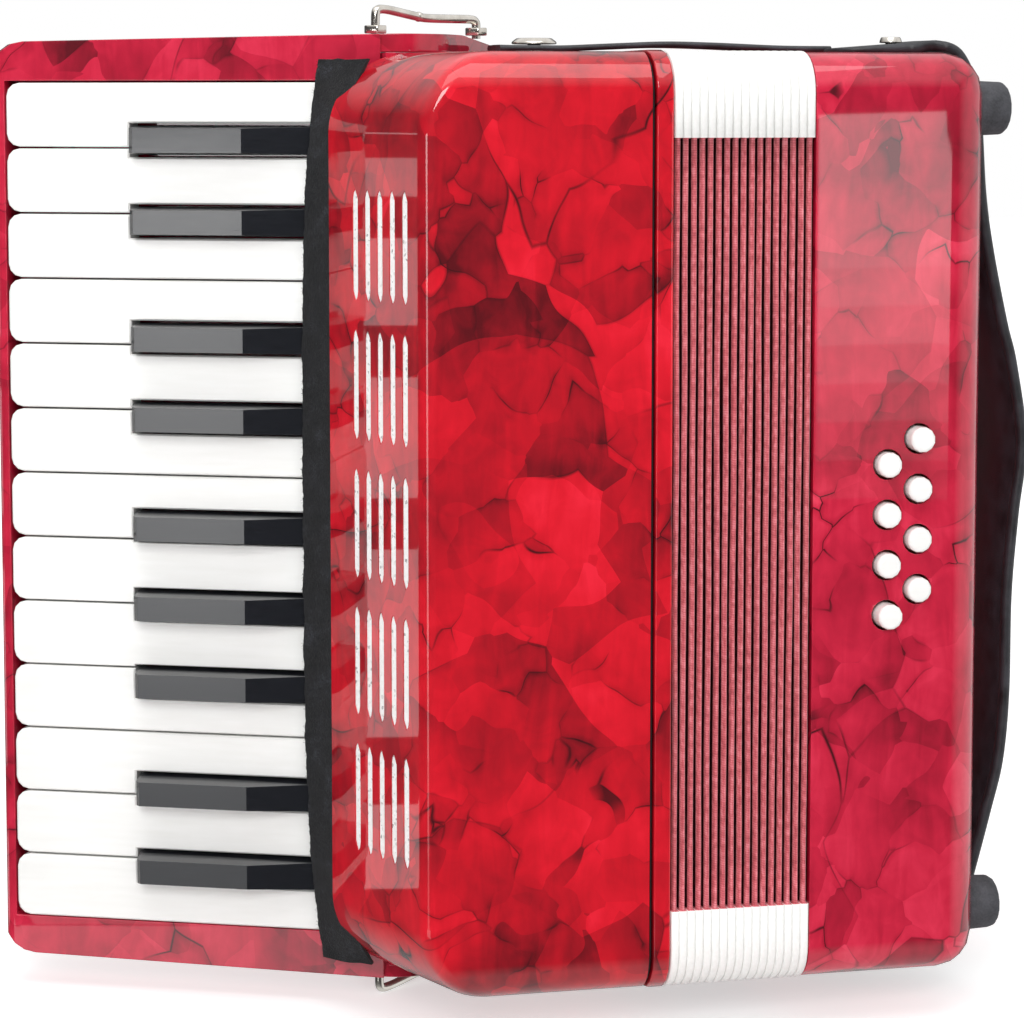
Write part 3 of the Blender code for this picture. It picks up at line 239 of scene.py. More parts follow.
def patch_tone(tree, bent, size, tone, painted_shading):
    """A patch's tone, painted lighter to one side as if lit, and the gap to its neighbour, which is 0 at the
    crease.
    """
    cell = {"Vector": bent, "Scale": per_mm(size)}
    own = add(tree, CELLS, cell, distance="CHEBYCHEV")
    other = add(tree, CELLS, cell, distance="CHEBYCHEV", feature="F2")
    gap = add(tree, MATH, {0: other, 1: own}, operation="SUBTRACT")
    off = add(tree, VECTOR, {0: bent, 1: own.outputs["Position"]}, operation="SUBTRACT")
    inside = add(tree, VECTOR, {0: off, "Scale": per_mm(size)}, operation="SCALE")
    lean = add(tree, VECTOR, {0: own.outputs["Color"], 1: MIDDLE_GREY}, operation="SUBTRACT")
    # Painted light: the patch is made lighter on one side and darker on the other, as if its facet were lit.
    across = add(tree, VECTOR, {0: inside, 1: lean}, operation="DOT_PRODUCT").outputs["Value"]
    drawn = add(tree, SPLIT, {"Color": own.outputs["Color"]})
    centred = add(tree, MATH, {0: drawn, 1: tone, 2: -0.5 * tone}, operation="MULTIPLY_ADD")
    return add(tree, MATH, {0: across, 1: painted_shading, 2: centred}, operation="MULTIPLY_ADD"), gap


def near_crease(tree, gap, reach, strength):
    """The crease's strength where it runs, and 0 from a reach on."""
    fade = add(tree, RANGE, {"Value": gap, "From Max": reach, "To Min": 1.0, "To Max": 0.0},
               interpolation_type="SMOOTHSTEP")
    return add(tree, MATH, {0: fade, 1: strength}, operation="MULTIPLY")


def pearl_celluloid(name, stops, crease_shade_colour):
    material, tree, skin, place = new_material(name, Roughness=0.5, Specular_IOR_Level=0.1, Coat_Weight=1.0,
                                               Coat_Roughness=0.02, Coat_IOR=1.56)
    cloud = add(tree, NOISE, {"Vector": place, "Scale": per_mm(45.0), "Detail": 3.0, "Roughness": 0.55})
    fine = add(tree, NOISE, {"Vector": place, "Scale": per_mm(9.0), "Detail": 5.0, "Distortion": 1.2})
    pulled = add(tree, MAPPING, {"Vector": place, "Rotation": (0.0, PULL_ANGLE, 0.0),
                                 "Scale": (1.0, 1.0, 1.0 / PULL_STRETCH)})
    streak = add(tree, NOISE, {"Vector": pulled, "Scale": per_mm(8.0), "Detail": 4.0, "Distortion": 1.6})
    light, crease = LIGHT_START, 0.0
    for texture, weight in ((cloud, 1.0), (fine, 0.3), (streak, 0.42)):
        light = add(tree, MATH, {0: texture, 1: weight, 2: light}, operation="MULTIPLY_ADD")
    for size, turn, seed, sway, tone, painted_shading, line, shadow in PATCHES:
        own, gap = patch_tone(tree, bent_place(tree, place, size, turn, seed, sway), size, tone, painted_shading)
        mask = add(tree, NOISE, {"Vector": place, "Scale": per_mm(size * 0.9), "Detail": 2.0})
        strength = add(tree, RANGE, {"Value": mask, "From Min": 0.5, "From Max": 0.66})
        light = add(tree, MATH, {0: light, 1: own}, operation="ADD")
        # Painted shadow: the tone is darkened in a soft band beside each crease.
        painted_crease_shadow = near_crease(tree, gap, shadow, strength)
        light = add(tree, MATH, {0: painted_crease_shadow, 1: SHADOW_DEPTH, 2: light}, operation="MULTIPLY_ADD")
        # The crease line is the foil's fold, drawn in the crease colour, which also paints the shade in the
        # fold.
        sharp = near_crease(tree, gap, line, strength)
        crease = add(tree, MATH, {0: crease, 1: sharp}, operation="MAXIMUM")
    colour = add(tree, RAMP, {"Fac": light}, stops=stops)
    mix = add(tree, MIX, {"Factor": crease, "A": colour, "B": linear(crease_shade_colour)}, data_type="RGBA")
    tree.links.new(mix.outputs["Result"], skin["Base Color"])
    add(tree, BUMP, relief(light, 0.6, 0.3), skin["Normal"])
    return material


PEARL = pearl_celluloid("pearl_celluloid",
                        [(0.0, "5a0410"), (0.2, "870718"), (0.4, "ab091d"), (0.6, "c60c21"),
                         (0.8, "da1228"), (1.0, "e92037")], "3c050e")
DARK_PEARL = pearl_celluloid("pearl_celluloid_deep",
                             [(0.0, "5e0819"), (0.2, "8e0e27"), (0.4, "ae1432"), (0.6, "c61e3d"),
                              (0.8, "d92e4c"), (1.0, "e8435e")], "3c0712")
print("pearl celluloid with patches of", [row[0] for row in PATCHES], "mm")

# %% [markdown]
# ## Key celluloid and black keys
# White keys are capped with polished celluloid, which has a faint grain along the key. Black keys are
# moulded and polished, so a lamp lies on their flat tops as an even grey. Fine random scratches vary
# the gloss.

# %% Key materials


def polished_white(name, low, high):
    material, tree, skin, place = new_material(name, Roughness=0.22, Coat_Weight=0.5, Coat_Roughness=0.06)
    long_way = add(tree, MAPPING, {"Vector": place, "Scale": (1.0, 1.0, 9.0)})
    grain = add(tree, NOISE, {"Vector": long_way, "Scale": per_mm(20.0), "Detail": 5.0})
    add(tree, RAMP, {"Fac": grain}, skin["Base Color"], [(0.3, low), (0.7, high)])
    fine = add(tree, NOISE, {"Vector": place, "Scale": per_mm(1.5), "Detail": 4.0})
    add(tree, BUMP, relief(fine, 0.02, 0.4), skin["Normal"])
    return material


def moulded_black(name, low, high, roughness):
    material, tree, skin, place = new_material(name, Specular_IOR_Level=0.62)
    long_way = add(tree, MAPPING, {"Vector": place, "Scale": (1.0, 1.0, 14.0)})
    wear = add(tree, NOISE, {"Vector": long_way, "Scale": per_mm(6.0), "Detail": 6.0})
    low_gloss, high_gloss = roughness - 0.04, roughness + 0.05
    add(tree, RANGE, {"Value": wear, "To Min": low_gloss, "To Max": high_gloss}, skin["Roughness"])
    add(tree, RAMP, {"Fac": wear}, skin["Base Color"], [(0.25, low), (0.8, high)])
    return material


WHITE = polished_white("white_celluloid", "f4f4f1", "f9f9f7")
BLACK = moulded_black("moulded_black", "15171b", "22242a", 0.14)
print("key materials", WHITE.name, BLACK.name)

# %% [markdown]
# ## Felt, linen, leather and rubber
# Felt is pressed wool without threads: its surface is a tangle with a few pale fibres. The folds of
# the bellows are taped with linen, and the hinge cloth deep between them is given a near-black red,
# painted shade for the valleys that little light reaches. Leather has pebbled grain, and the rubber
# feet carry the fine grit of their mould.

# %% Soft materials
THREAD = 0.7                          # drawn a little coarser than the real thread, so that it shows


def pressed_felt(name):
    material, tree, skin, place = new_material(name, Roughness=0.95, Sheen_Weight=0.08, Sheen_Roughness=0.5)
    tangle = add(tree, NOISE, {"Vector": place, "Scale": per_mm(0.9), "Detail": 8.0, "Distortion": 2.5})
    tuft = add(tree, NOISE, {"Vector": place, "Scale": per_mm(5.0), "Detail": 3.0})
    fluff = add(tree, MATH, {0: tangle, 1: tuft}, operation="MULTIPLY")
    add(tree, RAMP, {"Fac": fluff}, skin["Base Color"], [(0.1, "08090c"), (0.3, "131418"), (0.46, "34363e")])
    add(tree, BUMP, relief(tangle, 0.5, 0.9), skin["Normal"])
    return material


def linen_tape(name):
    """Linen tape with its threads drawn along the folds and across them."""
    material, tree, skin, place = new_material(name, Roughness=0.72, Sheen_Weight=0.25)
    weave = 0.0
    for way in ("Z", "X"):
        wave = add(tree, WAVES, {"Vector": place, "Scale": per_mm(THREAD) * WAVE_TURNS, "Distortion": 2.0,
                                 "Detail": 2.0}, bands_direction=way)
        weave = add(tree, MATH, {0: wave.outputs["Fac"], 1: weave}, operation="ADD")
    dust = add(tree, NOISE, {"Vector": place, "Scale": per_mm(2.2), "Detail": 7.0})
    shade = add(tree, MATH, {0: weave, 1: 0.16, 2: dust}, operation="MULTIPLY_ADD")
    add(tree, RAMP, {"Fac": shade}, skin["Base Color"],
        [(0.42, "b2464f"), (0.68, "d86872"), (0.92, "ef969e")])
    add(tree, BUMP, relief(weave, 0.05, 0.5), skin["Normal"])
    return material


def plain_cloth(name, stops, depth, **values):
    """Cloth that is seen too small or too dark for its threads, with a mottled tone."""
    material, tree, skin, place = new_material(name, **values)
    dust = add(tree, NOISE, {"Vector": place, "Scale": per_mm(1.2), "Detail": 6.0})
    add(tree, RAMP, {"Fac": dust}, skin["Base Color"], stops)
    add(tree, BUMP, relief(dust, depth, 0.5), skin["Normal"])
    return material


def grained_leather(name, low, high):
    """Leather with its grain drawn at 0.8 mm."""
    material, tree, skin, place = new_material(name, Specular_IOR_Level=0.5)
    pebble = add(tree, CELLS, {"Vector": place, "Scale": per_mm(0.8)}, feature="DISTANCE_TO_EDGE")
    folds = add(tree, NOISE, {"Vector": place, "Scale": per_mm(7.0), "Detail": 7.0})
    grain = add(tree, MATH, {0: pebble, 1: 0.8, 2: folds}, operation="MULTIPLY_ADD")
    add(tree, RAMP, {"Fac": folds}, skin["Base Color"], [(0.3, low), (0.75, high)])
    add(tree, RANGE, {"Value": folds, "To Min": 0.3, "To Max": 0.62}, skin["Roughness"])
    add(tree, BUMP, relief(grain, 0.18, 0.7), skin["Normal"])
    return material


def moulded_rubber(name, low, high):
    material, tree, skin, place = new_material(name, Roughness=0.68, Specular_IOR_Level=0.4)
    grit = add(tree, NOISE, {"Vector": place, "Scale": per_mm(0.7), "Detail": 5.0})
    dust = add(tree, NOISE, {"Vector": place, "Scale": per_mm(6.0), "Detail": 4.0})
    both = add(tree, MATH, {0: grit, 1: 0.5, 2: dust}, operation="MULTIPLY_ADD")
    add(tree, RAMP, {"Fac": both}, skin["Base Color"], [(0.5, low), (0.95, high)])
    add(tree, BUMP, relief(grit, 0.1, 0.6), skin["Normal"])
    return material


FELT = pressed_felt("pressed_felt")
LINEN = linen_tape("linen_bellows_tape")
# Painted shade: the near-black red of the hinge cloth stands for the shade deep in the bellows' folds.
HINGE_SHADE = plain_cloth("hinge_cloth_painted_shade", [(0.3, "220205"), (0.7, "3e050b")], 0.08, Roughness=0.85,
                    Specular_IOR_Level=0.15)
CORNER = plain_cloth("coated_corner_cloth", [(0.3, "f5f5f2"), (0.7, "fbfbf9")], 0.05, Roughness=0.45)
LEATHER = grained_leather("grained_leather", "1c1d20", "3c3d43")
RUBBER = moulded_rubber("moulded_rubber", "313236", "505156")
CARD = moulded_rubber("gasket_card", "0b0b0c", "1a1a1c")
print("linen threads every", THREAD, "mm")

# %% [markdown]
# ## Nickel, steel, wood and grille cloth
# The bails and screws are nickel plated over turned steel, so their gloss varies a little with
# handling. The cloth behind the grille is woven with tinsel, and it sparkles. The wood inside is
# never seen closed up, but it is spruce with its grain along the height.

# %% Metal, wood and cloth


def plated(name, low, high, roughness):
    material, tree, skin, place = new_material(name, Metallic=1.0)
    haze = add(tree, NOISE, {"Vector": place, "Scale": per_mm(4.0), "Detail": 6.0})
    dull, bright = roughness * 1.6, roughness * 0.5
    add(tree, RANGE, {"Value": haze, "To Min": bright, "To Max": dull}, skin["Roughness"])
    add(tree, RAMP, {"Fac": haze}, skin["Base Color"], [(0.3, low), (0.8, high)])
    add(tree, BUMP, relief(haze, 0.03, 0.3), skin["Normal"])
    return material


def tinsel_cloth(name):
    """Bright woven threads of 0.9 mm with a dark speck here and there."""
    material, tree, skin, place = new_material(name, Roughness=0.5)
    speck = add(tree, CELLS, {"Vector": place, "Scale": per_mm(0.9)})
    level = add(tree, SPLIT, {"Color": speck.outputs["Color"]})
    add(tree, RAMP, {"Fac": level}, skin["Base Color"],
        [(0.0, "9c9c9e"), (0.05, "dededc"), (0.12, "f6f6f4"), (1.0, "ffffff")])
    add(tree, BUMP, relief(level.outputs["Green"], 0.15, 0.6), skin["Normal"])
    return material


def spruce(name, low, high):
    material, tree, skin, place = new_material(name, Roughness=0.6)
    long_way = add(tree, MAPPING, {"Vector": place, "Scale": (1.0, 1.0, 0.06)})
    rings = add(tree, NOISE, {"Vector": long_way, "Scale": per_mm(2.2), "Detail": 5.0})
    add(tree, RAMP, {"Fac": rings}, skin["Base Color"], [(0.35, low), (0.65, high)])
    add(tree, BUMP, relief(rings, 0.1, 0.5), skin["Normal"])
    return material


NICKEL = plated("nickel_plate", "c9c3ba", "e9e4dc", 0.16)
STEEL = plated("ground_steel", "9a9a9c", "e9e4dc", 0.3)
TINSEL = tinsel_cloth("tinsel_grille_cloth")
SPRUCE = spruce("spruce", "a87c4c", "cfa570")
print("materials so far", len(bpy.data.materials))

# %% [markdown]
# ## Helpers for pieces
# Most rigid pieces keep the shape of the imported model, but its edges are knife sharp. A copy of the
# mesh is welded, its flat faces are made whole again, and its sharp edges get a small round. That
# round is what catches the light along every real edge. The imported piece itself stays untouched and
# hidden, and the copy stands for it.

# %% Piece helpers


def finish(name, bm, material, body, node=None, smooth=32.0):
    """Turn a drawing in millimetres into a piece that rides on a body and may stand for a node."""
    bmesh.ops.scale(bm, vec=(MM, MM, MM), verts=bm.verts)
    bmesh.ops.translate(bm, vec=ZERO, verts=bm.verts)
    mesh = bpy.data.meshes.new(name)
    bm.to_mesh(mesh)
    bm.free()
    piece = bpy.data.objects.new(name, mesh)
    bpy.context.scene.collection.objects.link(piece)
    for each in material if isinstance(material, (list, tuple)) else [material]:
        mesh.materials.append(each)
    if smooth is not None:
        mesh.shade_smooth()
        mesh.set_sharp_from_angle(angle=math.radians(smooth))
    if body:
        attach(piece, body)
    if node:
        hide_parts(node)
    return piece


def welded(node):
    """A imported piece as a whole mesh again, in millimetres of the drawing."""
    bm = bmesh.new()
    bm.from_mesh(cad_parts[node].data)
    bmesh.ops.translate(bm, vec=-ZERO, verts=bm.verts)
    bmesh.ops.scale(bm, vec=(1.0 / MM,) * 3, verts=bm.verts)
    bmesh.ops.remove_doubles(bm, verts=bm.verts, dist=0.002)
    bmesh.ops.dissolve_degenerate(bm, edges=bm.edges, dist=0.002)
    bmesh.ops.dissolve_limit(bm, angle_limit=math.radians(1.0), verts=bm.verts, edges=bm.edges)
    return bm


def round_edges(bm, width, segments, sharper=35.0):
    """Round every edge that turns by more than an angle."""
    bm.normal_update()
    chosen = [edge for edge in bm.edges
              if len(edge.link_faces) == 2 and edge.calc_face_angle(0.0) > math.radians(sharper)]
    bmesh.ops.bevel(bm, geom=chosen, offset=width, offset_type="OFFSET", affect="EDGES", segments=segments,
                    profile=0.5, clamp_overlap=True, material=-1)


def apply_modifiers(piece):
    """Keep the mesh as its modifiers show it."""
    shown = piece.evaluated_get(bpy.context.evaluated_depsgraph_get())
    mesh = bpy.data.meshes.new_from_object(shown)
    piece.modifiers.clear()
    piece.data = mesh


def weigh_normals(piece):
    """Let the large flat faces keep their own direction, so that only the rounds bend the light."""
    weigh = piece.modifiers.new("weighted_normals", "WEIGHTED_NORMAL")
    weigh.mode = "FACE_AREA"
    weigh.weight = 100
    weigh.keep_sharp = True
    apply_modifiers(piece)


LARGE_FACE = 12.0                     # square millimetres


def mark_crisp(bm, turn=3.0, always=50.0):
    """Keep the line where two large faces meet, however flat, and shade over the small rounds."""
    bm.normal_update()
    for face in bm.faces:
        face.smooth = True
    for edge in bm.edges:
        angle = math.degrees(edge.calc_face_angle(0.0)) if len(edge.link_faces) == 2 else 0.0
        both_large = len(edge.link_faces) == 2 and min(f.calc_area() for f in edge.link_faces) > LARGE_FACE
        edge.smooth = not (angle > always or (angle > turn and both_large))


def hold_large(piece):
    """Give every corner of a large face that face's own direction, so that a flat fold stays a line."""
    mesh = piece.data
    normals = [tuple(corner.vector) for corner in mesh.corner_normals]
    for polygon in mesh.polygons:
        if polygon.area > LARGE_FACE * MM * MM:
            for index in polygon.loop_indices:
                normals[index] = tuple(polygon.normal)
    mesh.normals_split_custom_set(normals)


def dress(node, body, material, width, segments=2, crisp=False):
    """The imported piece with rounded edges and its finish."""
    bm = welded(node)
    round_edges(bm, width, segments)
    if crisp:
        mark_crisp(bm)
    piece = finish(node + "_dressed", bm, material, body, node, None if crisp else 50.0)
    weigh_normals(piece)
    if crisp:
        hold_large(piece)
    return piece


# %% [markdown]
# ## Grille cover
# The cover is one sheet of wrapped wood and brass that folds from the front face into a sloping face
# with the sound slots. It is drawn as an open line, stretched up the height, and drawn in at both
# ends where the corners round over. A wall is then given to it, and the slots are cut last, so that
# their edges stay crisp.

# %% Grille cover
COVER_LOW, COVER_HIGH = extent("grille_cover")
COVER_WALL = 1.4
COVER_FRONT_WIDTH = 67.2
COVER_FOLD = 5.5
COVER_CORNER = 24.0
COVER_DEPTH = COVER_HIGH.y
FOLD_X = COVER_HIGH.x - COVER_FRONT_WIDTH
SLOPE = Vector((COVER_LOW.x - FOLD_X, COVER_DEPTH)).normalized()
SLOPE_IN = Vector((SLOPE.y, -SLOPE.x))
SLOT_FIRST, SLOT_PITCH, GROUP_PITCH = 10.0, 6.7, 41.1
SLOT_LENGTH, SLOT_WIDTH = 33.0, 3.0
SLOT_GROUPS, SLOT_COLUMNS = (-2, -1, 0, 1, 2), 5
ROUND_STEPS = 14
CORNER_STEPS = 20


def on_slope(along, inward=0.0):
    """A point of the sloping face, by its distance from the fold and its depth under the face."""
    return Vector((FOLD_X, 0.0)) + SLOPE * along + SLOPE_IN * inward


def cover_line(height):
    """The cover's outline in X and Y at a height."""
    def drawn_in(radius):
        over = max(abs(height) - (HALF - radius), 0.0)
        return radius - math.sqrt(max(radius * radius - over * over, 0.0))

    front = drawn_in(CASE_RADIUS)
    start = Vector((FOLD_X, 0.0)) + drawn_in(COVER_CORNER) * SLOPE_IN
    fold = start + SLOPE * ((front - start.y) / SLOPE.y)
    back = start + SLOPE * ((COVER_DEPTH + COVER_WALL - start.y) / SLOPE.y)
    half = Vector((1.0, 0.0)).angle(SLOPE) / 2
    centre = fold + Vector((COVER_FOLD / math.tan(half), COVER_FOLD))
    turn = math.pi - 2 * half
    points = [Vector((COVER_HIGH.x, front))]
    for step in range(ROUND_STEPS + 1):
        angle = -math.pi / 2 - turn * step / ROUND_STEPS
        points.append(centre + COVER_FOLD * Vector((math.cos(angle), math.sin(angle))))
    return points + [back]


# %% Pulling shapes through rings
def pull(bm, rings, closed=True):
    """Draw the first ring or line, pull its edges from place to place, and return every ring's corners."""
    verts = [bm.verts.new(point) for point in rings[0]]
    following = verts[1:] + verts[:1] if closed else verts[1:]
    edges = [bm.edges.new(pair) for pair in zip(verts, following)]
    rows = [verts]
    for ring in rings[1:]:
        grown = bmesh.ops.extrude_edge_only(bm, edges=edges)["geom"]
        new = {v for v in grown if isinstance(v, bmesh.types.BMVert)}
        edges = [e for e in grown if isinstance(e, bmesh.types.BMEdge) and all(v in new for v in e.verts)]
        verts = [next(e.other_vert(v) for e in v.link_edges if e.other_vert(v) in new) for v in verts]
        for vert, point in zip(verts, ring):
            vert.co = point
        rows.append(verts)
    return rows


def solid_through(rings):
    """A solid pulled through rings and closed at both ends, with its faces outwards."""
    bm = bmesh.new()
    pull(bm, rings)
    bmesh.ops.holes_fill(bm, edges=bm.edges, sides=0)
    bmesh.ops.recalc_face_normals(bm, faces=bm.faces)
    return bm


def cover_levels():
    """Heights of the cover's lines, closer together where the corners round over."""
    over = [math.sin(math.pi / 2 * step / CORNER_STEPS) for step in range(CORNER_STEPS + 1)]
    ends = [HALF - COVER_CORNER * (1.0 - share) for share in over]
    return [-h for h in reversed(ends)] + ends


# %% Slots and cuts
def slot_prisms(smaller, start, thickness):
    """Narrow prisms with drawn-in ends, five columns in five groups, from a depth under the face on."""
    bm = bmesh.new()
    half, wide = SLOT_LENGTH / 2 - smaller, SLOT_WIDTH / 2 - smaller
    right = [(wide, -half + 2.0 * wide), (wide, half - 2.0 * wide), (wide * 0.72, half - 0.8 * wide),
             (0.0, half)]
    left = [(-u, -v) for u, v in right]
    for group in SLOT_GROUPS:
        for column in range(SLOT_COLUMNS):
            along, middle = SLOT_FIRST + column * SLOT_PITCH, group * GROUP_PITCH
            verts = [bm.verts.new((*on_slope(along + u, start), middle + v)) for u, v in right + left]
            grown = bmesh.ops.extrude_face_region(bm, geom=[bm.faces.new(verts)], use_keep_orig=True)
            top = [v for v in grown["geom"] if isinstance(v, bmesh.types.BMVert)]
            bmesh.ops.translate(bm, vec=(*(SLOPE_IN * thickness), 0.0), verts=top)
    bmesh.ops.recalc_face_normals(bm, faces=bm.faces)
    return bm


def cut_with(piece, cutter_bm, name):
    """Cut one piece by a drawing, and apply the cut to its mesh."""
    cutter = finish(name, cutter_bm, [], None)
    boolean = piece.modifiers.new(name, "BOOLEAN")
    boolean.operation = "DIFFERENCE"
    boolean.object = cutter
    boolean.solver = "EXACT"
    apply_modifiers(piece)
    bpy.data.objects.remove(cutter)


def shade_like(piece, uncut):
    """Give a cut piece the normals of its uncut self, so that the cuts don't bend the light."""
    mesh, source = piece.data, uncut.data
    source.calc_loop_triangles()
    triangles = list(source.loop_triangles)
    near = BVHTree.FromPolygons([v.co for v in source.vertices], [tuple(t.vertices) for t in triangles])
    normals = []
    for polygon in mesh.polygons:
        for index in polygon.loop_indices:
            place = mesh.vertices[mesh.loops[index].vertex_index].co.lerp(polygon.center, 0.01)
            hit, _, found, _ = near.find_nearest(place)
            triangle = triangles[found]
            shares = poly_3d_calc([source.vertices[v].co for v in triangle.vertices], hit)
            normal = Vector()
            for share, loop in zip(shares, triangle.loops):
                normal += source.corner_normals[loop].vector * share
            fits = normal.normalized().dot(polygon.normal) > 0.9
            normals.append(normal.normalized() if fits else polygon.normal)
    mesh.normals_split_custom_set(normals)


# %% Make the cover
def cover_sheet():
    """The cover as a sheet without thickness, with a flat face at each end."""
    bm = bmesh.new()
    pull(bm, [[(*point, level) for point in cover_line(level)] for level in cover_levels()], closed=False)
    for side in (-1, 1):
        row = [e for e in bm.edges if all(v.co.z * side > HALF - 0.01 for v in e.verts)]
        ends = [v for v in {v for e in row for v in e.verts} if sum(e in row for e in v.link_edges) == 1]
        corner = bm.verts.new((COVER_HIGH.x, COVER_DEPTH + COVER_WALL, side * HALF))
        row += [bm.edges.new((end, corner)) for end in ends]
        bmesh.ops.contextual_create(bm, geom=row)
    bmesh.ops.recalc_face_normals(bm, faces=bm.faces)
    if next(f for f in bm.faces if abs(f.calc_center_median().y) < 0.01).normal.y > 0:
        bmesh.ops.reverse_faces(bm, faces=bm.faces)
    return bm


def behind_cover():
    """A block behind the cover, which trims its back edges to one plane."""
    bm = bmesh.new()
    bmesh.ops.create_cube(bm, size=1.0)
    bmesh.ops.scale(bm, vec=(160.0, 20.0, 320.0), verts=bm.verts)
    bmesh.ops.translate(bm, vec=(-50.0, COVER_DEPTH + 10.0, 0.0), verts=bm.verts)
    return bm


def make_cover():
    cover = finish("pearl_grille_cover", cover_sheet(), PEARL, None, smooth=30.0)
    wall = cover.modifiers.new("wall", "SOLIDIFY")
    wall.thickness = COVER_WALL * MM
    wall.offset = -1.0
    wall.use_even_offset = True
    apply_modifiers(cover)
    cut_with(cover, behind_cover(), "cover_trim")
    cover.data.shade_smooth()
    cover.data.set_sharp_from_angle(angle=math.radians(40.0))
    weigh_normals(cover)
    uncut = cover.copy()
    cut_with(cover, slot_prisms(0.0, -3.0, 9.0), "slot_cutters")
    cover.data.shade_smooth()
    shade_like(cover, uncut)
    bpy.data.objects.remove(uncut)
    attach(cover, "treble")
    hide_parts("grille_cover")
    return cover


cover = make_cover()
print("grille cover", len(cover.data.polygons), "faces")

# %% [markdown]
# ## Grille cloth and felt
# Tinsel cloth is stretched behind the slots and closes them to dust, and bright ribs of it are pressed
# into the slots until they lie just under the face. A strip of felt hangs from the cover's edge onto
# the keys, hides their levers and keeps them quiet. It was cut with scissors, so its edge wanders, its
# ends are ragged, and loose fibres stand out. The strip is a line swept up the height in small steps,
# and the free edge moves with a little noise.

# %% Grille cloth and felt
CLOTH_THICKNESS = 0.5
CLOTH_HALF = 105.0
CLOTH_MARGIN = 3.0                    # past the middles of the outer slots
CLOTH_ACROSS, CLOTH_ALONG = 8, 60
KEY_TILT = math.radians(24.4)
KEY_ALONG = Vector((-math.cos(KEY_TILT), math.sin(KEY_TILT)))
KEY_OUT = Vector((-math.sin(KEY_TILT), -math.cos(KEY_TILT)))
KEY_EDGE = Vector((COVER_LOW.x - 4.4, COVER_DEPTH + 14.9))
FELT_THICKNESS = 1.7
FELT_HALF = 136.3
FELT_STEP = 0.7
FELT_DRAW = 5.5                       # how much shorter the strip is at its ends
FIBRES = 420
SLOPE_RUN = COVER_DEPTH / SLOPE.y


def sweep_band(levels, middle_at, thickness_at):
    """A closed band whose middle line and thickness change with the height."""
    rings = []
    for level in levels:
        line = [Vector(p) for p in middle_at(level)]
        left, right = [], []
        for i, here in enumerate(line):
            before = (here - line[i - 1]).normalized() if i else (line[1] - here).normalized()
            after = (line[i + 1] - here).normalized() if i < len(line) - 1 else before
            normal = (Vector((-before.y, before.x)) + Vector((-after.y, after.x))).normalized()
            reach = thickness_at(i, len(line)) / 2
            left.append(here + normal * reach)
            right.append(here - normal * reach)
        rings.append([(p.x, p.y, level) for p in left + right[::-1]])
    return solid_through(rings)


def make_grille_cloth():
    depth = COVER_WALL + 0.3 + CLOTH_THICKNESS / 2
    start = SLOT_FIRST - CLOTH_MARGIN
    reach = SLOT_FIRST + (SLOT_COLUMNS - 1) * SLOT_PITCH + CLOTH_MARGIN
    line = [on_slope(start + (reach - start) * k / CLOTH_ACROSS, depth) for k in range(CLOTH_ACROSS + 1)]
    levels = [-CLOTH_HALF + 2 * CLOTH_HALF * k / CLOTH_ALONG for k in range(CLOTH_ALONG + 1)]
    bm = sweep_band(levels, lambda level: line, lambda i, n: CLOTH_THICKNESS)
    cloth = finish("tinsel_cloth", bm, TINSEL, "treble", "grille_lining")
    return cloth


# %% Felt strip
def felt_line(level):
    """The strip's middle line, from inside the cover down to its free edge on the keys."""
    share = abs(level) / FELT_HALF
    inner = COVER_WALL + 0.2 + FELT_THICKNESS / 2
    wander = 0.45 * noise.noise((level * 0.11, 3.1, 0.0)) + 0.3 * noise.noise((level * 0.8, 7.7, 0.0))
    drawn = FELT_DRAW * share ** 4 + wander
    lip = KEY_EDGE + 3.6 * KEY_OUT + FELT_THICKNESS / 2 * KEY_OUT - drawn * KEY_ALONG
    ends = max(abs(level) - (HALF - COVER_CORNER), 0.0) / COVER_CORNER
    top = on_slope(SLOPE_RUN - 7.0, inner + 9.0 * ends * ends)
    turn = on_slope(SLOPE_RUN - 1.0, inner + 4.0 * ends * ends)
    sag = turn.lerp(lip, 0.5) - 0.5 * KEY_OUT
    return [top, top.lerp(turn, 0.5), turn, turn.lerp(sag, 0.5), sag, sag.lerp(lip, 0.5), lip]


def add_fibre(bm, root, way, length):
    """One loose fibre: a cone a tenth of a millimetre thick."""
    made = bmesh.ops.create_cone(bm, cap_ends=True, segments=3, radius1=0.06, radius2=0.02, depth=length)
    turn = Vector((0.0, 0.0, 1.0)).rotation_difference(way).to_matrix()
    bmesh.ops.rotate(bm, verts=made["verts"], cent=(0, 0, 0), matrix=turn)
    bmesh.ops.translate(bm, verts=made["verts"], vec=root + way.normalized() * length * 0.4)


def make_felt():
    count = int(2 * FELT_HALF / FELT_STEP)
    levels = [-FELT_HALF + 2 * FELT_HALF * k / count for k in range(count + 1)]
    bm = sweep_band(levels, felt_line, lambda i, n: FELT_THICKNESS if i < n - 1 else FELT_THICKNESS * 0.7)
    for vert in bm.verts:
        vert.co.y -= noise.noise(vert.co * 0.9) * 0.14
        if abs(vert.co.z) > FELT_HALF - 0.1:
            vert.co.z += math.copysign(0.9 * noise.noise(vert.co * 0.6) + 0.2, vert.co.z)
    for _ in range(FIBRES):
        level = random.uniform(-FELT_HALF, FELT_HALF)
        lip = felt_line(level)[-1]
        way = Vector((*(KEY_ALONG * random.uniform(0.5, 1.0) + KEY_OUT * random.uniform(-0.2, 0.7)),
                      random.uniform(-0.9, 0.9)))
        add_fibre(bm, Vector((lip.x, lip.y, level)), way, random.uniform(0.5, 1.3))
    felt = finish("felt_strip", bm, FELT, "treble", "key_felt")
    width = sum((b - a).length for a, b in zip(felt_line(0.0), felt_line(0.0)[1:]))
    return felt


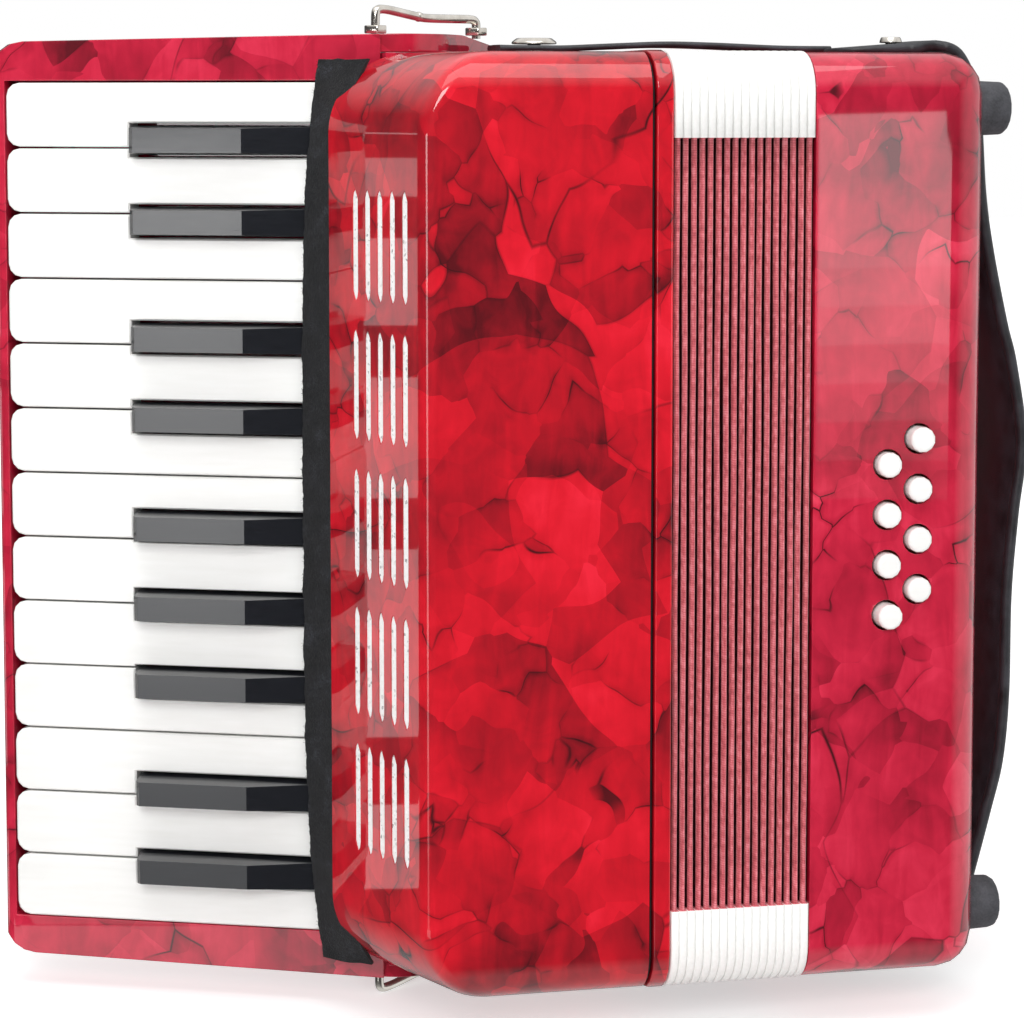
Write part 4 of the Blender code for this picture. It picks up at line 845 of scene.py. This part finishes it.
cloth = make_grille_cloth()
ribs = finish("tinsel_ribs_in_slots", slot_prisms(0.06, 0.3, 1.5), TINSEL, "treble", None)
felt = make_felt()
for piece in (cloth, ribs, felt):
    print(piece.name, len(piece.data.polygons), "faces")

# %% [markdown]
# ## The other casings
# The treble box, the keyboard frame, the lip that holds the bellows and the bass box are boxes of
# wood under the same celluloid. Only their edges need work: the sheet is scraped round there.

# %% Casings
CASINGS = [
    ("keyboard_frame", "treble", DARK_PEARL, 1.2, "pearloid"),
    ("treble_box", "treble", DARK_PEARL, 0.8, "pearloid"),
    ("treble_bellows_frame", "treble", PEARL, 1.1, "pearloid"),
    ("bass_box", "bass", DARK_PEARL, 0.7, "pearloid"),
    ("bass_end_plate", "bass", DARK_PEARL, 0.6, "pearloid"),
    ("treble_gasket", "treble", CARD, 0.2, "gasket"),
]
for node, body, material, width, slot in CASINGS:
    piece = dress(node, body, material, width)
    print(piece.name, len(piece.data.polygons), "faces")

# %% [markdown]
# ## Keys
# A white key is a wooden lever with a celluloid cap whose front corners are rounded and whose edges
# are eased, so that a finger slides over them. The black keys are narrower at the top, flat from
# the slanted front to a step, and slope down from there to the felt.

# %% Keys
KEYS = [("white_key", WHITE, 0.7, "white_celluloid", 3), ("black_key", BLACK, 0.45, "black_plastic", 2)]
for kind, material, width, slot, segments in KEYS:
    names = sorted(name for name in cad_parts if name.startswith(kind))
    for name in names:
        dress(name, name, material, width, segments, crisp=True)
    print(kind, len(names))

# %% [markdown]
# ## Buttons, feet and small metal
# The buttons are turned from the same celluloid as the keys. The feet are rubber, glued into the end
# plate. Screws, snap caps and bails are nickel plated.

# %% Small pieces
SMALL = [("air_button", "air_button", WHITE, 0.8, "white_celluloid"),
         ("key_axle", "treble", STEEL, 0.3, "steel")]
for index in range(1, 9):
    SMALL.append((f"bass_button_{index}", f"bass_button_{index}", WHITE, 0.6, "white_celluloid"))
for index in range(1, 5):
    SMALL.append((f"foot_{index}", "bass", RUBBER, 1.2, "foot_rubber"))
for side in ("top", "bottom"):
    SMALL.append((f"hand_strap_screw_{side}", "bass", NICKEL, 0.4, "nickel"))
    SMALL.append((f"snap_cap_{side}", f"closure_{side}", NICKEL, 0.5, "nickel"))
for node, body, material, width, slot in SMALL:
    dress(node, body, material, width, segments=3)
print(len(SMALL), "small pieces")

# %% [markdown]
# ## Bails
# A bail is one bent wire that a shoulder strap clips to, held by two nuts. The wire was hammered over
# on its way across, which left a bead and a step in the bar. A curve through a few points bends it,
# its bevel gives the thickness, and the nuts are short six-sided cones.

# %% Bails
WIRE_RADIUS = 1.35
NUT_RADIUS, NUT_HEIGHT = 3.6, 2.4
BAIL_FEET = (Vector((-74.0, 70.0)), Vector((-37.6, 93.0)))
BAIL_FOOT, BAIL_TOP = 144.6, 151.9


def wire_mesh(points, radius):
    """A round wire through points, bent softly."""
    curve = bpy.data.curves.new("wire", "CURVE")
    curve.dimensions = "3D"
    curve.bevel_depth = radius * MM
    curve.bevel_resolution = 5
    curve.use_fill_caps = True
    spline = curve.splines.new("NURBS")
    spline.points.add(len(points) - 1)
    for point, place in zip(spline.points, points):
        point.co = (*(at(*place)), 1.0)
    spline.order_u = 3
    spline.use_endpoint_u = True
    spline.resolution_u = 8
    holder = bpy.data.objects.new("wire", curve)
    bpy.context.scene.collection.objects.link(holder)
    mesh = bpy.data.meshes.new_from_object(holder.evaluated_get(bpy.context.evaluated_depsgraph_get()))
    bpy.data.objects.remove(holder)
    return mesh


def make_bail(side, up):
    left, right = BAIL_FEET
    way = right - left
    step = left + way * 0.42
    heights = [(left, BAIL_FOOT - 1.0), (left, 147.0), (left, 150.0), (left + way * 0.01, BAIL_TOP),
               (left + way * 0.10, BAIL_TOP + 0.1), (left + way * 0.25, BAIL_TOP - 0.9), (step, 149.9),
               (step + way * 0.08, 149.5), (left + way * 0.85, 149.6), (left + way * 0.97, 149.6),
               (right, 148.6), (right, 147.0), (right, BAIL_FOOT - 1.0)]
    bm = bmesh.new()
    mesh = wire_mesh([(p.x, p.y, up * z) for p, z in heights], WIRE_RADIUS)
    bm.from_mesh(mesh)
    bpy.data.meshes.remove(mesh)
    bmesh.ops.translate(bm, vec=-ZERO, verts=bm.verts)
    bmesh.ops.scale(bm, vec=(1.0 / MM,) * 3, verts=bm.verts)
    bead = bmesh.ops.create_icosphere(bm, subdivisions=3, radius=WIRE_RADIUS * 1.16)
    bmesh.ops.translate(bm, verts=bead["verts"], vec=(step.x, step.y, up * 149.95))
    for foot in BAIL_FEET:
        nut = bmesh.ops.create_cone(bm, cap_ends=True, segments=6, radius1=NUT_RADIUS, radius2=NUT_RADIUS,
                                    depth=NUT_HEIGHT)
        edges = {e for v in nut["verts"] for e in v.link_edges}
        bmesh.ops.translate(bm, verts=nut["verts"],
                            vec=(foot.x, foot.y, up * (BAIL_FOOT + NUT_HEIGHT / 2)))
        bmesh.ops.bevel(bm, geom=list(edges), offset=0.3, offset_type="OFFSET", affect="EDGES", segments=2,
                        profile=0.5, material=-1)
    bmesh.ops.recalc_face_normals(bm, faces=bm.faces)
    return finish(f"wire_bail_{side}", bm, NICKEL, "treble", f"bail_{side}", smooth=40.0)


for side, up in (("top", 1.0), ("bottom", -1.0)):
    bail = make_bail(side, up)
    print(bail.name, len(bail.data.polygons), "faces")

# %% [markdown]
# ## Bellows
# Seventeen card folds are hinged with cloth and taped with linen along their peaks, and coated cloth
# caps cover the corners, where the folds rub most. Closed, the peaks lie side by side with dark
# valleys between them, whose deep faces are painted near-black as their shade. The mesh is one ring
# round the casing's outline, pulled along X and moved in and out for each fold. It is deep enough
# that the folds stay folds when the bellows is drawn.

# %% Bellows
FOLD_COUNT = 17
FOLD_PITCH = (BELLOWS_HIGH.x - BELLOWS_LOW.x) / FOLD_COUNT
FOLD_DEPTH = 17.0
CORNER_REACH = 25.0
# share of a fold's width and depth under its peak, for the taped folds and for the corner caps
TAPE = [(0.13, 6.0), (0.19, 2.2), (0.32, 0.5), (0.5, 0.0), (0.68, 0.5), (0.81, 2.2), (0.87, 6.0)]
CAP_TAPE = [(0.012, 4.2), (0.035, 0.3), (0.2, 0.04), (0.5, 0.0), (0.8, 0.04), (0.965, 0.3), (0.988, 4.2)]
WANDER, END_WANDER = 0.3, 0.6
ALONG_STEPS, CASE_STEPS = 9, 8
CAP_PROUD = 0.35
CAP_STEP = 0.1                        # half the width of the step from a corner cap to the tape
LINING = 1.5
# Faces deeper than this under their peak take the near-black hinge cloth as painted shade.
HINGE_SHADE_DEPTH = 4.0


def bellows_outline():
    """Points round the casings' outline as Y and Z, with the way out and whether a cap is there."""
    points = []
    straight_y = [CASE_RADIUS, CORNER_REACH - CAP_STEP, CORNER_REACH + CAP_STEP, DEPTH / 2]
    taped_z = HALF - CORNER_REACH - CAP_STEP
    straight_z = [HALF - CASE_RADIUS, HALF - CORNER_REACH + CAP_STEP]
    straight_z += [taped_z * (1.0 - k / ALONG_STEPS) for k in range(ALONG_STEPS + 1)]
    for side_y, side_z in ((0, 1), (1, 1), (1, 0), (0, 0)):
        corner = []
        flat_z = [(0.0, z) for z in reversed(straight_z)]
        flat_y = [(y, HALF) for y in straight_y]
        for y, z in flat_z:
            corner.append((Vector((y, z)), Vector((-1.0, 0.0)), z > HALF - CORNER_REACH))
        for step in range(1, CASE_STEPS):
            angle = math.pi - math.pi / 2 * step / CASE_STEPS
            out = Vector((math.cos(angle), math.sin(angle)))
            centre = Vector((CASE_RADIUS, HALF - CASE_RADIUS))
            corner.append((centre + CASE_RADIUS * out, out, True))
        for y, z in flat_y:
            corner.append((Vector((y, z)), Vector((0.0, 1.0)), y < CORNER_REACH))
        turned = []
        for place, out, cap in corner:
            y = DEPTH - place.x if side_y else place.x
            out_y = -out.x if side_y else out.x
            z = place.y if side_z else -place.y
            out_z = out.y if side_z else -out.y
            turned.append((Vector((y, z)), Vector((out_y, out_z)), cap))
        if (side_y, side_z) in ((1, 1), (0, 0)):
            turned.reverse()
        points += turned[:-1]
    return points


# %% Fold the bellows
def wander_at(place, fold):
    """How far a fold's peak strays along X, which fades out towards the corner caps."""
    slack = WANDER * noise.noise((place.y * 0.022, place.x * 0.02, fold * 7.7))
    if abs(place.y) > HALF - 1.0:
        return slack * END_WANDER
    return slack * max(1.0 - (abs(place.y) / (HALF - CORNER_REACH)) ** 4, 0.0)


def bellows_rows(outline):
    """For each ring along the bellows, its X and its depth under the casings at each outline point."""
    rows = [[(BELLOWS_LOW.x, FOLD_DEPTH)] * len(outline)]
    for fold in range(FOLD_COUNT):
        start = BELLOWS_LOW.x + fold * FOLD_PITCH
        for (share, inset), (cap_share, cap_inset) in zip(TAPE, CAP_TAPE):
            row = []
            for place, _, cap in outline:
                taped = (start + share * FOLD_PITCH + wander_at(place, fold), inset)
                capped = (start + cap_share * FOLD_PITCH, cap_inset - CAP_PROUD)
                row.append(capped if cap else taped)
            rows.append(row)
        rows.append([(start + FOLD_PITCH, FOLD_DEPTH)] * len(outline))
    for end in (BELLOWS_HIGH.x, BELLOWS_LOW.x):
        rows.append([(end, FOLD_DEPTH + LINING)] * len(outline))
    return rows


def lay_cloth(bm, rows, outline):
    """Give each face its cloth: the near-black hinge cloth as painted shade deep in the folds, caps at the
    corners and tape between them.
    """
    for near, far in zip(rows, rows[1:]):
        for k, (place, _, cap) in enumerate(outline):
            n = (k + 1) % len(outline)
            face = bm.faces.get((near[k], near[n], far[n], far[k]))
            depth = max((place - vert.co.yz).length for vert in (near[k], far[k]))
            face.material_index = 2 if depth > HINGE_SHADE_DEPTH else int(cap and outline[n][2])


def make_bellows():
    outline = bellows_outline()
    rings = []
    for row in bellows_rows(outline):
        inner = [(x, place - out * inset) for (place, out, _), (x, inset) in zip(outline, row)]
        rings.append([(x, point.x, point.y) for x, point in inner])
    bm = bmesh.new()
    lay_cloth(bm, pull(bm, rings + rings[:1]), outline)
    bmesh.ops.remove_doubles(bm, verts=bm.verts, dist=0.0001)
    bmesh.ops.recalc_face_normals(bm, faces=bm.faces)
    piece = finish("folded_bellows", bm, [LINEN, CORNER, HINGE_SHADE], None, "bellows", 80.0)
    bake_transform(piece)
    return piece


bellows = make_bellows()
print("bellows", len(bellows.data.polygons), "faces")

# %% [markdown]
# ## Straps
# The hand strap is two layers of leather, glued, edged and sewn along both sides. It is a section
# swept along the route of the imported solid: flat with eased edges and a shallow groove where the
# thread lies. The thread itself is one small stitch after another. The bellows straps are single
# leather with the same eased edges, a little thicker at their left end.

# %% Strap helpers
STITCH_PITCH = 3.4
STITCH_LENGTH = 2.3
STITCH_IN = 3.2


def smooth_route(points, steps):
    """A Catmull-Rom curve through given points."""
    route = []
    ends = [points[0]] + list(points) + [points[-1]]
    for i in range(1, len(ends) - 2):
        p0, p1, p2, p3 = (Vector(ends[i + j]) for j in (-1, 0, 1, 2))
        for k in range(steps):
            t = k / steps
            route.append(0.5 * (2 * p1 + (p2 - p0) * t + (2 * p0 - 5 * p1 + 4 * p2 - p3) * t * t
                                + (3 * p1 - p0 - 3 * p2 + p3) * t ** 3))
    return route + [Vector(points[-1])]


def directions(route):
    """The way along a route in X and Z, and its normal, at each point."""
    found = []
    for i in range(len(route)):
        way = (route[min(i + 1, len(route) - 1)] - route[max(i - 1, 0)]).normalized()
        found.append((way, Vector((-way.y, way.x))))
    return found


def half_section(half_width, half_thickness, groove):
    """One side of a strap's section, from edge to edge: eased edges and a groove for the thread."""
    ease = min(1.0, half_width * 0.2)
    line = [(-half_width, 0.0), (-half_width + 0.25 * ease, 0.6), (-half_width + ease, 1.0)]
    if groove:
        line += [(-half_width + STITCH_IN - 0.6, 1.0), (-half_width + STITCH_IN, 0.72),
                 (-half_width + STITCH_IN + 0.6, 1.0)]
    right = [(-across, rise) for across, rise in reversed(line)]
    line += [(0.0, 1.06)] + right
    return [(across, rise * half_thickness) for across, rise in line]


def sweep_strap(route, middle, width_at, thickness_at, groove):
    """A closed strap along a route, with its width across Y."""
    rings = []
    for here, (_, normal) in zip(route, directions(route)):
        outer = half_section(width_at(here), thickness_at(here), groove)
        section = outer + [(across, -rise) for across, rise in reversed(outer[1:-1])]
        rings.append([(here.x + normal.x * rise, middle + across, here.y + normal.y * rise)
                      for across, rise in section])
    return solid_through(rings)


def add_stitches(bm, route, middle, width_at, thickness_at, wanted):
    """Short stitches in the grooves on both faces, one after another along the route."""
    walked, due = 0.0, STITCH_PITCH
    for here, there, (way, normal) in zip(route, route[1:], directions(route)):
        walked += (there - here).length
        while walked > due:
            due += STITCH_PITCH
            if not wanted(there):
                continue
            for side in (-1, 1):
                for face in (-1, 1):
                    made = bmesh.ops.create_icosphere(bm, subdivisions=1, radius=1.0)
                    bmesh.ops.scale(bm, vec=(STITCH_LENGTH / 2, 0.28, 0.28), verts=made["verts"])
                    turn = Matrix.Rotation(-math.atan2(way.y, way.x), 3, "Y")
                    bmesh.ops.rotate(bm, verts=made["verts"], cent=(0, 0, 0), matrix=turn)
                    lift = normal * face * (thickness_at(there) * 0.82)
                    across = side * (width_at(there) - STITCH_IN)
                    bmesh.ops.translate(bm, verts=made["verts"],
                                        vec=(there.x + lift.x, middle + across, there.y + lift.y))


# %% Hand strap
STRAP_MIDDLE = 54.0
STRAP_HALF = 20.0
STRAP_THICKNESS = 3.0
STRAP_BULGE = 25.2
STRAP_TONGUE = 12.0
screw_low, screw_high = extent("hand_strap_screw_top")
SCREW_X = (screw_low.x + screw_high.x) / 2
TONGUE_TIP = SCREW_X - 19.5


def hand_strap_points():
    """The strap's route in X and Z, from the lower tongue round the hand to the upper one."""
    rise = HALF + 0.3 + STRAP_THICKNESS / 2
    right, far = BASS_HIGH.x, BASS_HIGH.x + STRAP_BULGE
    lower = [(TONGUE_TIP, -rise + 0.7), (SCREW_X, -rise), (SCREW_X + 4.6, -rise), (right - 2.0, -rise - 0.2),
             (right + 5.0, -rise + 6.0), (right + 9.5, -HALF + 20.0)]
    bulge = [(right + 15.2, -97.0), (right + 19.0, -81.0), (far - 4.5, -60.0), (far - 4.2, -29.0),
             (far - 2.3, -4.0), (far, 18.6), (far - 3.6, 43.0), (far - 7.0, 56.0), (right + 13.4, 78.0)]
    upper = [(right + 10.6, 96.0), (right + 8.2, HALF - 14.0), (right + 3.2, HALF - 0.8),
             (right - 3.6, rise + 0.8), (SCREW_X + 4.6, rise), (SCREW_X, rise), (TONGUE_TIP, rise - 0.7)]
    return lower + bulge + upper


def strap_half_width(here):
    """The tongues are narrow with round tips, and the strap widens round the corner."""
    neck = BASS_HIGH.x - 2.0
    if abs(here.y) < HALF - 2.0 or here.x > neck:
        return STRAP_HALF
    widened = max(here.x - (neck - 8.0), 0.0) / 8.0
    width = STRAP_TONGUE + (STRAP_HALF - STRAP_TONGUE) * widened
    tip = min(here.x - TONGUE_TIP, 7.0) / 7.0
    return width * (0.55 + 0.45 * math.sqrt(max(1.0 - (1.0 - tip) ** 2, 0.0)))


def make_hand_strap():
    route = smooth_route(hand_strap_points(), 8)
    half = STRAP_THICKNESS / 2

    def thickness_at(here):
        pared = abs(here.y) > HALF - 2.0 and here.x < SCREW_X
        return half * (0.5 + 0.5 * (here.x - TONGUE_TIP) / (SCREW_X - TONGUE_TIP)) if pared else half

    bm = sweep_strap(route, STRAP_MIDDLE, strap_half_width, thickness_at, True)
    add_stitches(bm, route, STRAP_MIDDLE, strap_half_width, thickness_at, lambda p: abs(p.y) < HALF - 4.0)
    return finish("leather_hand_strap", bm, LEATHER, "bass", "hand_strap", 60.0)


hand_strap = make_hand_strap()
print("hand strap", len(hand_strap.data.polygons), "faces")

# %% Bellows straps
CLOSURE_HALF = 9.0
CLOSURE_THICKNESS = 2.0


def closure_points(node, cap):
    """A bellows strap's route in X and Z: flat under its cap, arched over the folds, flat again."""
    low, high = extent(node)
    cap_low, cap_high = extent(cap)
    side = math.copysign(1.0, low.z)
    rest = HALF + 0.9 + CLOSURE_THICKNESS / 2
    cap_middle = (cap_low.x + cap_high.x) / 2
    line = [(low.x + 0.4, rest), (cap_middle, rest), (cap_high.x + 1.5, rest), (2.0, rest + 0.7),
            (18.0, rest + 1.3), (34.0, rest + 1.0), (BASS_LOW.x + 12.0, rest + 0.2), (high.x, rest + 0.1)]
    return [(x, side * z) for x, z in line]


def make_closure_strap(side):
    node = f"closure_strap_{side}"
    low, high = extent(node)
    route = smooth_route(closure_points(node, f"snap_cap_{side}"), 8)

    def thickness_at(here):
        rolled = max(0.0, 1.0 - (here.x - low.x) / 4.0)
        return CLOSURE_THICKNESS / 2 * (0.92 + 0.1 * rolled)

    def width_at(here):
        tip = min((high.x - here.x) / 3.0, 1.0)
        return CLOSURE_HALF * (0.9 + 0.1 * math.sqrt(max(tip, 0.0)))

    bm = sweep_strap(route, (low.y + high.y) / 2, width_at, thickness_at, False)
    return finish(f"leather_bellows_strap_{side}", bm, LEATHER, f"closure_{side}", node, 60.0)


for side in ("top", "bottom"):
    strap = make_closure_strap(side)
    print(strap.name, len(strap.data.polygons), "faces")

# %% [markdown]
# ## Inside
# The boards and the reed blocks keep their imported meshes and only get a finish.

# %% Inside finishes
INSIDE = ["treble_soundboard", "treble_reed_block", "bass_soundboard", "bass_reed_block", "button_board"]
for node in INSIDE:
    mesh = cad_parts[node].data
    mesh.materials.clear()
    mesh.materials.append(SPRUCE)
print(len(INSIDE), "wooden pieces inside")

# %% [markdown]
# ## Studio
# A white surround is for the camera only. What the polish mirrors is chosen for each face: a tall
# lamp left of the front for the keys, a smaller one that lies mirrored in the bass front, strips
# behind on the left for the sloping face, and a bright ceiling for the edges. The floor catches the
# shadow and stays out of reflections, as if the instrument hung in the light.

# %% Floor


def make_floor():
    bm = bmesh.new()
    bmesh.ops.create_grid(bm, x_segments=2, y_segments=2, size=6000.0)
    bmesh.ops.translate(bm, vec=(0.0, 0.0, CAD_BOX[0].z / MM - ZERO.z / MM - 0.05), verts=bm.verts)
    material = bpy.data.materials.new("studio_floor")
    material.use_nodes = True
    tree = material.node_tree
    shader = tree.nodes["Principled BSDF"]
    shader.inputs["Base Color"].default_value = linear("e6e6e6")
    shader.inputs["Roughness"].default_value = 0.9
    shader.inputs["Specular IOR Level"].default_value = 0.0
    seen = add(tree, "ShaderNodeLightPath").outputs["Is Camera Ray"]
    place = add(tree, "ShaderNodeTexCoord").outputs["Object"]
    away = add(tree, VECTOR, {0: place}, operation="LENGTH").outputs["Value"]
    rise = add(tree, RANGE, {"Value": away, "From Min": 0.2, "From Max": 0.9, "To Min": 0.55,
                             "To Max": 0.85})
    lift = add(tree, MATH, {0: seen, 1: rise}, operation="MULTIPLY")
    glow = add(tree, "ShaderNodeEmission", {"Strength": lift})
    add(tree, "ShaderNodeAddShader", {0: shader, 1: glow}, tree.nodes["Material Output"].inputs["Surface"])
    floor = finish("floor", bm, material, None)
    floor.visible_glossy = False
    return floor


AMBIENT = 0.56
FRONT_DIM = 0.07
MIRRORED = [
    # axis, where the surround starts to brighten, where it is at its brightest, brightness
    ("Z", 0.25, 0.6, 1.0),
    ("X", 0.55, 0.85, 0.95),
    ("Z", -0.35, -0.7, 0.75),
]


# %% Surround
def make_world():
    world = bpy.data.worlds.new("studio")
    bpy.context.scene.world = world
    world.use_nodes = True
    tree = world.node_tree
    way = add(tree, "ShaderNodeTexCoord").outputs["Generated"]
    parts = add(tree, "ShaderNodeSeparateXYZ", {"Vector": way})
    mirrored = 0.0
    for axis, start, full, brightness in MIRRORED:
        side = add(tree, RANGE, {"Value": parts.outputs[axis], "From Min": start, "From Max": full,
                                 "To Min": FRONT_DIM, "To Max": brightness})
        mirrored = add(tree, MATH, {0: side, 1: mirrored}, operation="MAXIMUM")
    path = add(tree, "ShaderNodeLightPath")
    glossy = add(tree, MIX, {"Factor": path.outputs["Is Glossy Ray"], "A": AMBIENT, "B": mirrored},
                 data_type="FLOAT")
    background = tree.nodes["Background"].inputs
    background["Color"].default_value = (1.0, 1.0, 1.0, 1.0)
    add(tree, MIX, {"Factor": path.outputs["Is Camera Ray"], "A": glossy, "B": 1.0}, background["Strength"],
        data_type="FLOAT")
    return world


floor = make_floor()
world = make_world()
print("studio with", floor.name, "and", world.name)

# %% Lamps


def softbox(name, place, aim, width, height, radiance):
    """A flat lamp by its brightness, so that its mirror image can be planned."""
    lamp = bpy.data.lights.new(name, "AREA")
    lamp.shape = "RECTANGLE"
    lamp.size = width * MM
    lamp.size_y = height * MM
    lamp.energy = radiance * math.pi * lamp.size * lamp.size_y
    item = bpy.data.objects.new(name, lamp)
    bpy.context.scene.collection.objects.link(item)
    item.location = at(*place)
    item.rotation_euler = (at(*aim) - at(*place)).to_track_quat("-Z", "Y").to_euler()
    item.visible_camera = False
    return item


def softbox_strips(name, place, aim, width, reach, strips):
    """A tall lamp in strips, each named by the heights on the face where its mirror image lies."""
    for number, (top, low, radiance) in enumerate(strips):
        high_z, low_z = (z + (z - CAMERA_PLACE[2]) * reach for z in (top, low))
        middle = (high_z + low_z) / 2
        softbox(f"{name}_{number}", (*place, middle), (*aim, middle), width, high_z - low_z, radiance)


KEY_STRIPS = [(123.0, 100.0, 5.9), (100.0, 70.0, 5.25), (70.0, 40.0, 4.1), (40.0, 10.0, 3.7),
              (10.0, -20.0, 3.5), (-20.0, -40.0, 3.1), (-40.0, -70.0, 2.4), (-70.0, -100.0, 1.7),
              (-100.0, -125.0, 1.1)]
BASS_STRIPS = [(124.5, 77.5, 3.1), (77.5, 65.7, 2.7), (65.7, 53.9, 2.2), (53.9, 42.0, 1.6),
               (42.0, 30.2, 1.1), (30.2, 18.4, 0.65), (18.4, 6.6, 0.3)]
SLOPE_STRIPS = [(128.0, 118.0, 1.3), (108.0, 97.0, 1.3), (85.0, 60.0, 1.3), (45.0, 10.0, 1.3),
                (-5.0, -60.0, 1.3), (-80.0, -105.0, 1.3)]
softbox_strips("key_side_lamp", (-878.4, -766.1), (-140.0, 45.0), 200.0, 1.2326, KEY_STRIPS)
softbox_strips("bass_strip", (453.7, -1011.9), (70.0, 0.0), 125.0, 1.2006, BASS_STRIPS)
softbox_strips("slope_strip", (-881.0, 626.0), (-82.0, 25.0), 500.0, 1.16, SLOPE_STRIPS)
softbox("low_bar_strip", (-878.4, -766.1, -497.7), (-140.0, 45.0, -497.7), 420.0, 130.0, 1.6)
softbox("overhead_lamp", (-100.0, -300.0, 900.0), (0.0, 60.0, 0.0), 900.0, 700.0, 2.2)
softbox("front_fill", (-500.0, -1500.0, 700.0), (0.0, 0.0, 0.0), 700.0, 500.0, 10.0)

bpy.context.scene.view_settings.view_transform = "Standard"
